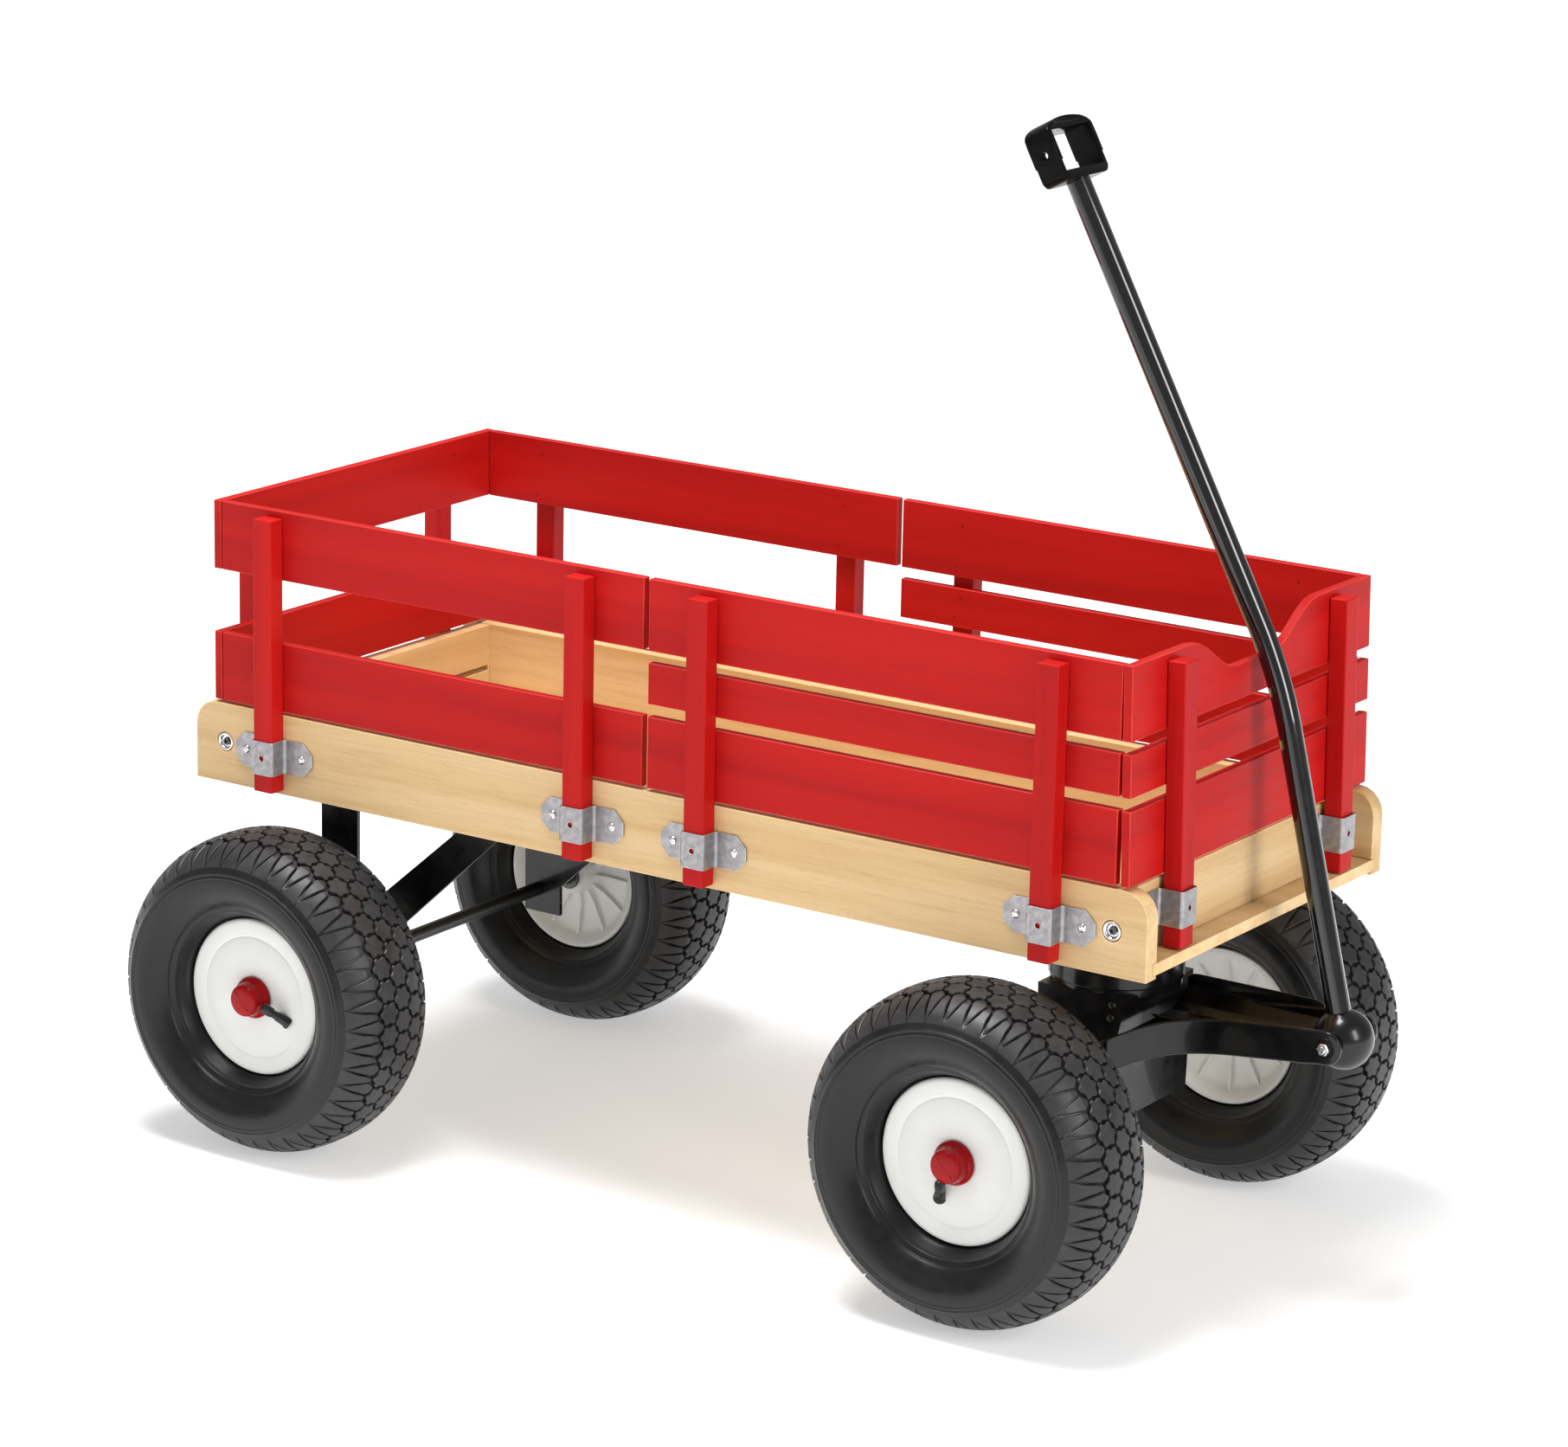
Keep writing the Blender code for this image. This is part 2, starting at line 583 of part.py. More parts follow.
def arm_shape(side):
    """One side arm of the tongue, swept from its lug on the axle to its round lug on the handle pivot."""
    shape = bmesh.new()
    stations = [(FRONT_AXLE_X - 0.011, 0.158, 0.123), (FRONT_AXLE_X + 0.008, 0.168, 0.123)]
    for x in (0.345, 0.3605, 0.372, 0.384, 0.400, 0.420, 0.445, 0.475, 0.5025):
        stations.append((x, arm_top(x), arm_top(x) - ARM_HEIGHT))
    for angle in (90, 60, 30):
        lift = ARM_NOSE_RADIUS * math.sin(math.radians(angle))
        x = PIVOT_X + ARM_NOSE_RADIUS * math.cos(math.radians(angle))
        stations.append((x, PIVOT_Z + lift, PIVOT_Z - lift))
    rings = []
    for x, high, low in stations:
        inner = side * arm_inner(x)
        outer = side * (arm_inner(x) + ARM_SHEET)
        ring = [(x, inner, low), (x, outer, low), (x, outer, high), (x, inner, high)]
        rings.append([shape.verts.new(point) for point in ring])
    bridge_rings(shape, rings, closed=True)
    shape.faces.new(rings[0])
    shape.faces.new(rings[-1])
    return shape


def build_tongue(steel, wagon):
    """Pressed steering tongue: two bowed arms, a floor between them and two upright ribs."""
    floor_low = ARM_TOP - ARM_HEIGHT + 0.0015
    floor_high = floor_low + TONGUE_FLOOR_SHEET
    floor_outline = []
    for x, side in ((TONGUE_TAIL_X, -1), (TONGUE_NOSE_X, -1), (TONGUE_NOSE_X, 1), (TONGUE_TAIL_X, 1)):
        floor_outline.append((x, side * (arm_inner(x) + ARM_SHEET / 2)))
    tongue = add_mesh("tongue", prism_shape(floor_outline, floor_low, floor_high, 2), steel, wagon)
    for side in (-1, 1):
        arm = add_mesh(f"tongue_arm_{side}", arm_shape(side), steel, wagon)
        boolean(tongue, arm, "UNION")
        rib_low = (TONGUE_TAIL_X + 0.003, min(side * place for place in RIB_Y), floor_low + 0.001)
        rib_high = (TONGUE_NOSE_X - 0.002, max(side * place for place in RIB_Y), RIB_TOP)
        rib = add_box(f"tongue_rib_{side}", rib_low, rib_high, steel, wagon)
        boolean(tongue, rib, "UNION")
    holes = ((FRONT_AXLE_X, TYRE_RADIUS, BORE_RADIUS), (PIVOT_X, PIVOT_Z, PIN_RADIUS + TOUCH_GAP))
    for number, (x, z, radius) in enumerate(holes):
        drill_profile = [(0, -0.2), (radius, -0.2), (radius, 0.2), (0, 0.2)]
        drill = add_mesh(f"tongue_drill_{number}", lathe_shape(drill_profile, 16, "Y"), steel, wagon, location=(x, 0, z))
        boolean(tongue, drill, "DIFFERENCE")


def handle_path():
    """Centre line of the handle from the pivot ball to its top, with one gentle bend, relative to the pivot."""
    foot = Vector((0, 0, 0))
    bend = Vector((BEND_X - PIVOT_X, 0, BEND_Z - PIVOT_Z))
    top = Vector((TUBE_TOP_X - PIVOT_X, 0, TUBE_TOP_Z - PIVOT_Z))
    lower = (bend - foot).normalized()
    upper = (top - bend).normalized()
    start = bend - lower * BEND_TANGENT
    end = bend + upper * BEND_TANGENT
    points = [foot + lower * 0.012]
    steps = 6
    for step in range(steps + 1):
        share = step / steps
        points.append(start * (1 - share) ** 2 + bend * 2 * share * (1 - share) + end * share ** 2)
    points.append(top)
    return points


def tube_shape(points, radius, wall, sides):
    """Tube along a path in the XZ plane: closed at its foot, open at its top."""
    shape = bmesh.new()
    outer, inner = [], []
    for index, point in enumerate(points):
        before = points[max(0, index - 1)]
        after = points[min(len(points) - 1, index + 1)]
        along = (after - before).normalized()
        side = Vector((0, 1, 0))
        forward = side.cross(along)
        for rings, reach in ((outer, radius), (inner, radius - wall)):
            if rings is inner and index == 0:
                continue
            ring = []
            for step in range(sides):
                angle = 2 * math.pi * step / sides
                ring.append(shape.verts.new(point + (side * math.cos(angle) + forward * math.sin(angle)) * reach))
            rings.append(ring)
    bridge_rings(shape, outer + inner[::-1], closed=True)
    shape.faces.new(outer[0])
    shape.faces.new(inner[0])
    return shape


def build_handle_tube(steel, handle):
    """Handle tube standing in a round steel knuckle, with the cross pin that the knuckle turns on."""
    knuckle_profile = [(0, -0.0225)]
    for angle in range(-60, 61, 20):
        place = BALL_RADIUS * math.sin(math.radians(angle))
        knuckle_profile.append((BALL_RADIUS * math.cos(math.radians(angle)), place))
    knuckle_profile.append((0, 0.0225))
    pin_reach = ARM_NOSE_Y + ARM_SHEET + 0.003
    knuckle = add_mesh("handle_tube", tube_shape(handle_path(), TUBE_RADIUS, TUBE_WALL, 16), steel, handle, smooth=True)
    ball = add_mesh("handle_ball", lathe_shape(knuckle_profile, 20, "Y"), steel, handle)
    boolean(knuckle, ball, "UNION")
    pin_profile = [(0, -pin_reach), (PIN_RADIUS, -pin_reach), (PIN_RADIUS, pin_reach), (0, pin_reach)]
    pin = add_mesh("handle_pin", lathe_shape(pin_profile, 12, "Y"), steel, handle)
    boolean(knuckle, pin, "UNION")


def grip_outline():
    """Grip seen along the wagon: flat foot, straight cheeks, and a top that is a low arch."""
    half = GRIP_WIDTH / 2
    shoulder = GRIP_LENGTH - 0.012
    points = [(half - 0.006, 0), (half, 0.008), (half, shoulder)]
    for step in range(1, 6):
        angle = math.radians(30 * step)
        points.append((half * math.cos(angle), shoulder + 0.012 * math.sin(angle)))
    points += [(-half, shoulder), (-half, 0.008), (-half + 0.006, 0)]
    return points


def build_grip(plastic, handle):
    """Moulded stirrup grip pushed onto the top of the tube."""
    path = handle_path()
    lean = (path[-1] - path[-2]).normalized()
    tilt = math.atan2(lean.x, lean.z)
    grip = add_mesh("handle_grip", prism_shape(grip_outline(), -GRIP_DEPTH / 2, GRIP_DEPTH / 2, 0), plastic, handle)
    inner_half = GRIP_WIDTH / 2 - GRIP_WALL
    window_low = (-GRIP_DEPTH, -inner_half, GRIP_FOOT)
    window_high = (GRIP_DEPTH, inner_half, GRIP_LENGTH - 0.0095)
    window = add_box("grip_window", window_low, window_high, plastic, grip)
    boolean(grip, window, "DIFFERENCE")
    grip.location = path[-1] + lean * TOUCH_GAP
    grip.rotation_euler = (0, tilt, 0)


def main():
    clear_scene()
    wood = make_material("natural_wood", (0.72, 0.47, 0.24), 0.5, 0.0)
    paint = make_material("red_painted_wood", (0.53, 0.02, 0.02), 0.45, 0.0)
    zinc = make_material("zinc_strap", (0.46, 0.46, 0.48), 0.4, 0.9)
    steel = make_material("black_enamelled_steel", (0.012, 0.012, 0.013), 0.28, 0.3)
    rubber = make_material("black_rubber", (0.02, 0.02, 0.021), 0.6, 0.0)
    white = make_material("white_plastic", (0.84, 0.85, 0.82), 0.4, 0.0)
    plastic = make_material("black_plastic", (0.014, 0.014, 0.014), 0.35, 0.0)

    wagon = make_empty("wagon", (ORIGIN_X, 0, 0))
    build_deck(wood, wagon)
    for side in ("right", "left"):
        build_side_board(side, wood, wagon)
    build_end_boards(wood, wagon)
    build_panels(paint, wagon)
    build_clips(zinc, wagon)

    build_rear_bracket(steel, wagon)
    build_axle("rear_axle", REAR_WHEEL_Y, steel, wagon, (REAR_AXLE_X, 0, TYRE_RADIUS))
    build_bolster(steel, wagon)

    steering = make_empty("steering", (FRONT_AXLE_X, 0, 0), wagon)
    build_fork(steel, steering)
    build_axle("front_axle", FRONT_WHEEL_Y, steel, steering, (0, 0, TYRE_RADIUS))
    tongue_frame = make_empty("tongue_frame", (-FRONT_AXLE_X, 0, 0), steering)
    build_tongue(steel, tongue_frame)
    handle = make_empty("handle", (PIVOT_X - FRONT_AXLE_X, 0, PIVOT_Z), steering)
    build_handle_tube(steel, handle)
    build_grip(plastic, handle)

    for side, facing in (("right", -1), ("left", 1)):
        front_place = (0, facing * FRONT_WHEEL_Y, TYRE_RADIUS)
        rear_place = (REAR_AXLE_X, facing * REAR_WHEEL_Y, TYRE_RADIUS)
        build_wheel(f"front_{side}", facing, rubber, white, steering, front_place)
        build_wheel(f"rear_{side}", facing, rubber, white, wagon, rear_place)


main()
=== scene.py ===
import json
import math

import bmesh
import bpy
from mathutils import Matrix, Vector

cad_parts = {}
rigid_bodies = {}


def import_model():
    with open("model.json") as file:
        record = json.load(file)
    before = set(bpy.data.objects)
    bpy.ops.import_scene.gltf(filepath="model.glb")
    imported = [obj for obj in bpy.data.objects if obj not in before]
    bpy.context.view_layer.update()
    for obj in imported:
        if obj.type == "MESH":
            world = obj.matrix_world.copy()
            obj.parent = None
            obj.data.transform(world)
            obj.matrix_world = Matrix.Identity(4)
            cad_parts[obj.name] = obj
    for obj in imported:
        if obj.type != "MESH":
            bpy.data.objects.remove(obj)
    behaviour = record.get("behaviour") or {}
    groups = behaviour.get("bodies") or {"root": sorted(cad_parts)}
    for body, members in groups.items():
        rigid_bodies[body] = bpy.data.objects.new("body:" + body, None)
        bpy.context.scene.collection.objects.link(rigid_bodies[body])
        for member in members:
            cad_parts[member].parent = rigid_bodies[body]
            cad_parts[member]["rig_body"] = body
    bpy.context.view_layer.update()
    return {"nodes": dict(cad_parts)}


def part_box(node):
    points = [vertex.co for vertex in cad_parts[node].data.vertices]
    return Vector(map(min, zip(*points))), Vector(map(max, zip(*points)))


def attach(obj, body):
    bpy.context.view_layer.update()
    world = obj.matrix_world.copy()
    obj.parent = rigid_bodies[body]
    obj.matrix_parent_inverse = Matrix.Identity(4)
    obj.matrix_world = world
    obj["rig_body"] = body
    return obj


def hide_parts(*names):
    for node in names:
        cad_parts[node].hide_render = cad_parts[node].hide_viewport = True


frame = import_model()
nodes = frame["nodes"]

deckLow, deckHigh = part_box("deck")
middleX = (deckLow.x + deckHigh.x) / 2      # middle of the tray; the pull handle reaches out in front of it
sides = {"right": -1, "left": 1}
frontLean = {"from": 0.5, "angle": math.radians(1.4)}      # the front panel leans outward below this height


# finishes: each is one material made of layered noise; the helpers below add and join its nodes
def newFinish(name, colour, roughness, metallic=0.0, coat=0.0, coatRoughness=0.1, specular=0.5):
    finish = bpy.data.materials.new(name)
    finish.use_nodes = True
    shader = finish.node_tree.nodes["Principled BSDF"]
    shader.inputs["Base Color"].default_value = (*colour, 1)
    shader.inputs["Roughness"].default_value = roughness
    shader.inputs["Metallic"].default_value = metallic
    shader.inputs["Coat Weight"].default_value = coat
    shader.inputs["Coat Roughness"].default_value = coatRoughness
    shader.inputs["Specular IOR Level"].default_value = specular
    finish.diffuse_color = (*colour, 1)
    return finish


def addNode(finish, kind, **values):
    node = finish.node_tree.nodes.new(kind)
    for name, value in values.items():
        if name in node.inputs:
            node.inputs[name].default_value = value
        else:
            setattr(node, name, value)
    return node


def join(finish, output, socket):
    finish.node_tree.links.new(output, socket)


def stretchedPlace(finish, stretch=(1, 1, 1)):
    coordinates = addNode(finish, "ShaderNodeTexCoord")
    mapping = addNode(finish, "ShaderNodeMapping", Scale=stretch)
    join(finish, coordinates.outputs["Object"], mapping.inputs["Vector"])
    return mapping.outputs["Vector"]


def noisePattern(finish, place, scale, detail, roughness, distortion=0.0):
    values = {"Scale": scale, "Detail": detail, "Roughness": roughness, "Distortion": distortion}
    pattern = addNode(finish, "ShaderNodeTexNoise", **values)
    join(finish, place, pattern.inputs["Vector"])
    return pattern.outputs["Fac"]


def colourSteps(finish, pattern, stops):
    ramp = addNode(finish, "ShaderNodeValToRGB")
    row = ramp.color_ramp.elements
    while len(row) < len(stops):
        row.new(0.5)
    for element, (place, colour) in zip(row, stops):
        element.position = place
        element.color = (*colour, 1)
    join(finish, pattern, ramp.inputs["Fac"])
    return ramp.outputs["Color"]


def multiplied(finish, share, first, second):
    # the second colour darkens the first
    mixer = addNode(finish, "ShaderNodeMix", data_type="RGBA", blend_type="MULTIPLY")
    mixer.inputs[0].default_value = share
    join(finish, first, mixer.inputs[6])
    join(finish, second, mixer.inputs[7])
    return mixer.outputs[2]


def spreadRange(finish, value, ends, socketName, curve="LINEAR"):
    # ends are the value's lowest and highest, then what the shader's socket takes at each
    spread = addNode(finish, "ShaderNodeMapRange", interpolation_type=curve)
    for name, end in zip(("From Min", "From Max", "To Min", "To Max"), ends):
        spread.inputs[name].default_value = end
    join(finish, value, spread.inputs["Value"])
    join(finish, spread.outputs["Result"], shaderOf(finish).inputs[socketName])


def shadeRoughness(finish, pattern, low, high):
    spreadRange(finish, pattern, (0.3, 0.7, low, high), "Roughness")


def shaderOf(finish):
    return finish.node_tree.nodes["Principled BSDF"]


def addBump(finish, heights, distance):
    # heights are (pattern, strength), one laid over another
    before = None
    for height, share in heights:
        bump = addNode(finish, "ShaderNodeBump", Strength=share, Distance=distance)
        join(finish, height, bump.inputs["Height"])
        if before:
            join(finish, before, bump.inputs["Normal"])
        before = bump.outputs["Normal"]
    join(finish, before, shaderOf(finish).inputs["Normal"])


# how a pattern is stretched along each grain direction
grainStretch = {
    "X": (0.045, 1.0, 1.0),
    "Y": (1.0, 0.045, 1.0),
    "Z": (1.0, 1.0, 0.045),
}
birch = {
    "pale": (0.76, 0.55, 0.300), "base": (0.69, 0.475, 0.235), "deep": (0.60, 0.385, 0.170),
    "streak": (0.80, 0.76, 0.70), "fleck": (0.72, 0.62, 0.52),
}
white = (1, 1, 1)


def birchWood(name, grain, tone=1.0):
    pale, base, deep = [tuple(part * tone for part in birch[key]) for key in ("pale", "base", "deep")]
    wood = newFinish(name, base, 0.46, specular=0.3)
    place = stretchedPlace(wood, grainStretch[grain])
    broad = noisePattern(wood, place, 38, 3, 0.5, 0.6)
    fine = noisePattern(wood, place, 330, 5, 0.62, 0.2)
    fleckPlace = stretchedPlace(wood, tuple(0.16 if part < 1 else 1.0 for part in grainStretch[grain]))
    flecks = noisePattern(wood, fleckPlace, 900, 2, 0.5)
    board = colourSteps(wood, broad, [(0.30, deep), (0.48, base), (0.68, pale)])
    streaks = colourSteps(wood, fine, [(0.30, birch["streak"]), (0.52, white), (0.75, (1.0, 1.0, 0.99))])
    dots = colourSteps(wood, flecks, [(0.27, birch["fleck"]), (0.38, white)])
    colour = multiplied(wood, 0.55, board, streaks)
    colour = multiplied(wood, 0.5, colour, dots)
    join(wood, colour, shaderOf(wood).inputs["Base Color"])
    shadeRoughness(wood, fine, 0.40, 0.56)
    addBump(wood, [(fine, 0.5), (flecks, 0.5)], 0.00012)
    return wood


def redPaint(name, grain, tone=1.0, lift=0.0):
    # lift pales the paint; only the rounded rail edges use it, as worn thin paint and as a painted highlight
    base = (0.47 * tone + lift, 0.0062 * tone + lift * 0.25, 0.0055 * tone + lift * 0.2)
    dark = (base[0] * 0.80, base[1] * 0.70, base[2] * 0.75)
    light = (min(1, base[0] * 1.13), base[1] * 1.5, base[2] * 1.4)
    paint = newFinish(name, base, 0.5, specular=0.16)
    place = stretchedPlace(paint, grainStretch[grain])
    broad = noisePattern(paint, place, 26, 3, 0.5, 0.4)
    fine = noisePattern(paint, place, 420, 5, 0.6, 0.2)
    colour = colourSteps(paint, broad, [(0.30, dark), (0.50, base), (0.72, light)])
    streaks = colourSteps(paint, fine, [(0.28, (0.84, 0.78, 0.78)), (0.50, white)])
    colour = multiplied(paint, 0.6, colour, streaks)
    join(paint, colour, shaderOf(paint).inputs["Base Color"])
    shadeRoughness(paint, fine, 0.42, 0.58)
    addBump(paint, [(fine, 0.6)], 0.00010)
    return paint


def zincSheet(name):
    zinc = newFinish(name, (0.36, 0.35, 0.36), 0.40, metallic=0.8)
    place = stretchedPlace(zinc)
    cloud = noisePattern(zinc, place, 160, 4, 0.6, 0.4)
    specks = noisePattern(zinc, place, 1900, 3, 0.6)
    spangle = [(0.30, (0.27, 0.255, 0.27)), (0.52, (0.36, 0.35, 0.36)), (0.74, (0.46, 0.455, 0.46))]
    colour = colourSteps(zinc, cloud, spangle)
    dots = colourSteps(zinc, specks, [(0.30, (0.70, 0.70, 0.72)), (0.55, white)])
    colour = multiplied(zinc, 0.6, colour, dots)
    join(zinc, colour, shaderOf(zinc).inputs["Base Color"])
    shadeRoughness(zinc, specks, 0.28, 0.50)
    addBump(zinc, [(specks, 0.35)], 0.00008)
    return zinc


def enamelledSteel(name, roughness, coat):
    steel = newFinish(name, (0.0028, 0.0026, 0.0028), roughness, coat=coat, coatRoughness=0.05, specular=0.3)
    place = stretchedPlace(steel)
    waviness = noisePattern(steel, place, 55, 2, 0.4)
    peel = noisePattern(steel, place, 900, 2, 0.5)
    shadeRoughness(steel, waviness, roughness * 0.8, roughness * 1.35)
    addBump(steel, [(waviness, 0.25), (peel, 0.05)], 0.0004)
    return steel


def tyreRubber(name, tone, roughness):
    rubber = newFinish(name, (tone, tone, tone * 1.08), roughness, specular=0.36)
    place = stretchedPlace(rubber)
    cloud = noisePattern(rubber, place, 70, 4, 0.6)
    grit = noisePattern(rubber, place, 1500, 3, 0.6)
    dark = (tone * 0.72, tone * 0.72, tone * 0.76)
    pale = (tone * 1.4, tone * 1.4, tone * 1.5)
    colour = colourSteps(rubber, cloud, [(0.3, dark), (0.7, pale)])
    join(rubber, colour, shaderOf(rubber).inputs["Base Color"])
    shadeRoughness(rubber, cloud, roughness * 0.82, roughness * 1.25)
    addBump(rubber, [(cloud, 0.12), (grit, 0.25)], 0.00025)
    return rubber


def mouldedPlastic(name, colour, roughness, texture=0.12, variation=0.04, specular=0.5):
    plastic = newFinish(name, colour, roughness, specular=specular)
    place = stretchedPlace(plastic)
    cloud = noisePattern(plastic, place, 45, 3, 0.5)
    grit = noisePattern(plastic, place, 1400, 2, 0.5)
    dark = tuple(part * (1 - variation) for part in colour)
    pale = tuple(min(1.0, part * (1 + variation)) for part in colour)
    clouded = colourSteps(plastic, cloud, [(0.3, dark), (0.7, pale)])
    join(plastic, clouded, shaderOf(plastic).inputs["Base Color"])
    shadeRoughness(plastic, cloud, roughness * 0.85, roughness * 1.2)
    addBump(plastic, [(cloud, 0.1), (grit, texture)], 0.0002)
    return plastic


def brightSteel(name, tone, roughness):
    steel = newFinish(name, (tone, tone, tone), roughness, metallic=1.0)
    place = stretchedPlace(steel)
    grit = noisePattern(steel, place, 1200, 3, 0.6)
    shadeRoughness(steel, grit, roughness * 0.7, roughness * 1.4)
    addBump(steel, [(grit, 0.2)], 0.0001)
    return steel


woodAlongX = birchWood("birch_along_x", "X")
woodAlongY = birchWood("birch_along_y", "Y")
woodEdge = birchWood("birch_cut_edge", "X", 1.13)
redAlongX = redPaint("red_paint_along_x", "X")
redAlongY = redPaint("red_paint_along_y", "Y")
redUpright = redPaint("red_paint_upright", "Z")
# the rounded rail edges are paler red: partly worn thin paint, partly a painted highlight where the edges
# catch the light from above
redEdgeWearAndHighlight = redPaint("red_paint_worn_edge_and_painted_highlight", "X", 1.0, 0.12)
# the nail heads take a darker red, painted shade for the dimples they sit in
redNailDimpleShade = redPaint("red_paint_nail_dimple_shade", "X", 0.55)
zinc = zincSheet("galvanised_strap")
# brighter steel for the clips' rounded edges: partly the bare cut edge, partly a painted highlight
zincEdgeAndHighlight = brightSteel("strap_cut_edge_and_painted_highlight", 0.66, 0.35)
enamel = enamelledSteel("black_enamel", 0.26, 0.35)
tubeEnamel = enamelledSteel("black_tube_enamel", 0.16, 1.0)
sideRubber = tyreRubber("tyre_side_rubber", 0.0065, 0.32)
treadRubber = tyreRubber("tyre_tread_rubber", 0.026, 0.40)
whitePlastic = mouldedPlastic("white_wheel_plastic", (0.86, 0.87, 0.84), 0.42, variation=0.02)
redPlastic = mouldedPlastic(
    "red_cap_plastic", (0.34, 0.0012, 0.0035), 0.25, texture=0.03, variation=0.2, specular=0.2
)
gripPlastic = mouldedPlastic("black_grip_plastic", (0.003, 0.003, 0.003), 0.20, texture=0.05, specular=0.08)
valveRubber = mouldedPlastic("black_valve_rubber", (0.012, 0.012, 0.013), 0.4, texture=0.1)
screwSteel = brightSteel("bright_screw_steel", 0.78, 0.22)
darkSteel = brightSteel("dark_bolt_steel", 0.10, 0.35)
print("finishes made:", len(bpy.data.materials))


# pieces: shapes are built in bmesh, turned into meshes with toMesh and put on a body with toPiece
def toPiece(name, mesh, body, stands=(), where=None):
    # stands lists the CAD nodes that the piece stands for
    piece = bpy.data.objects.new(name, mesh)
    bpy.context.scene.collection.objects.link(piece)
    if where is not None:
        piece.matrix_world = where
    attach(piece, body)
    for node in stands:
        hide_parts(node)
    return piece


def facingPlace(place, turn=0.0):
    # a place in the frame, turned about the upright
    return Matrix.Translation(place) @ Matrix.Rotation(turn, 4, "Z")


def toMesh(shape, finishes, smooth=True, sharpAngle=None):
    mesh = bpy.data.meshes.new("shape")
    shape.to_mesh(mesh)
    shape.free()
    for finish in finishes:
        mesh.materials.append(finish)
    if smooth:
        mesh.shade_smooth()
    if sharpAngle:
        mesh.set_sharp_from_angle(angle=math.radians(sharpAngle))
    return mesh


def settle(mesh, modifiers):
    # runs modifiers on a mesh and returns the finished mesh; each modifier is (kind, values)
    holder = bpy.data.objects.new("holder", mesh)
    bpy.context.scene.collection.objects.link(holder)
    for kind, values in modifiers:
        modifier = holder.modifiers.new(kind, kind)
        for name, value in values.items():
            setattr(modifier, name, value)
    bpy.context.view_layer.update()
    depsgraph = bpy.context.evaluated_depsgraph_get()
    settled = bpy.data.meshes.new_from_object(holder.evaluated_get(depsgraph), depsgraph=depsgraph)
    bpy.data.objects.remove(holder, do_unlink=True)
    return settled


def evenNormals(mesh):
    return settle(mesh, [("WEIGHTED_NORMAL", {"keep_sharp": True, "weight": 60})])


def nodeShape(node):
    shape = bmesh.new()
    shape.from_mesh(nodes[node].data)
    bmesh.ops.remove_doubles(shape, verts=shape.verts, dist=0.00002)
    flat = math.radians(0.8)
    bmesh.ops.dissolve_limit(shape, angle_limit=flat, verts=shape.verts, edges=shape.edges)
    return shape


def roundEdges(shape, width, segments=2, sharpest=28, finishIndex=-1):
    edges = []
    for edge in shape.edges:
        if len(edge.link_faces) == 2 and math.degrees(edge.calc_face_angle(0)) > sharpest:
            edges.append(edge)
    bmesh.ops.bevel(
        shape,
        geom=edges,
        offset=width,
        segments=segments,
        profile=0.6,
        affect="EDGES",
        clamp_overlap=True,
        material=finishIndex,
    )


def softened(node, finishes, width, segments=2, sharpest=28, faceFinish=None):
    # a copy of a CAD piece with its edges rounded over; the rounded edges take the second finish
    shape = nodeShape(node)
    roundEdges(shape, width, segments, sharpest, finishIndex=1)
    if faceFinish:
        shape.normal_update()
        for face in shape.faces:
            chosen = faceFinish(face)
            if chosen is not None:
                face.material_index = chosen
    mesh = evenNormals(toMesh(shape, finishes))
    return toPiece(f"{node}_finished", mesh, nodes[node]["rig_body"], [node])


def ringPoints(radius, count, axis, height, phase=0.0):
    points = []
    for step in range(count):
        angle = 2 * math.pi * (step + phase) / count
        across, up = radius * math.cos(angle), radius * math.sin(angle)
        points.append((across, height, up) if axis == "Y" else (across, up, height))
    return points


def stitchRings(shape, rings):
    # faces from each ring to the next; a ring may be a single point
    for lower, upper in zip(rings, rings[1:]):
        count = max(len(lower), len(upper))
        for index in range(count):
            after = (index + 1) % count
            corners = []
            for ring, place in ((lower, index), (lower, after), (upper, after), (upper, index)):
                vertex = ring[place % len(ring)]
                if vertex not in corners:
                    corners.append(vertex)
            shape.faces.new(corners)


def loftShape(rows):
    # a closed form through rows of points, with a face at each end
    shape = bmesh.new()
    rings = [[shape.verts.new(point) for point in row] for row in rows]
    stitchRings(shape, rings)
    shape.faces.new(rings[0])
    shape.faces.new(rings[-1])
    bmesh.ops.recalc_face_normals(shape, faces=shape.faces)
    return shape


def turned(profile, segments, axis="Y", ring=False):
    # a lathe shape from (radius, height) points
    shape = bmesh.new()
    rings = []
    for radius, height in profile:
        count = segments if radius > 1e-6 else 1
        rings.append([shape.verts.new(point) for point in ringPoints(radius, count, axis, height)])
    if ring:
        rings.append(rings[0])
    stitchRings(shape, rings)
    bmesh.ops.recalc_face_normals(shape, faces=shape.faces)
    return shape


def smoothLine(points, spacing):
    # a Catmull-Rom curve through the points, sampled at about even spacing
    line = []
    for index in range(len(points) - 1):
        before = Vector(points[max(0, index - 1)])
        start, end = Vector(points[index]), Vector(points[index + 1])
        after = Vector(points[min(len(points) - 1, index + 2)])
        steps = max(1, round((end - start).length / spacing))
        for step in range(steps):
            t = step / steps
            point = 0.5 * (
                2 * start + (end - before) * t + (2 * before - 5 * start + 4 * end - after) * t * t
                + (3 * start - 3 * end + after - before) * t * t * t
            )
            line.append(point)
    line.append(Vector(points[-1]))
    return line


# the tray: deck, four boards and four corner bolts
tray = {
    "boardRounding": 0.0009, "deckRounding": 0.0006, "boltRadius": 0.0078, "boltX": 0.4262, "boltZ": 0.325,
}


def trayEdgeFinish(face):
    return 1 if abs(face.normal.z) > 0.6 else None


def deckFinish(face):
    return 1 if abs(face.normal.z) < 0.7 else 0


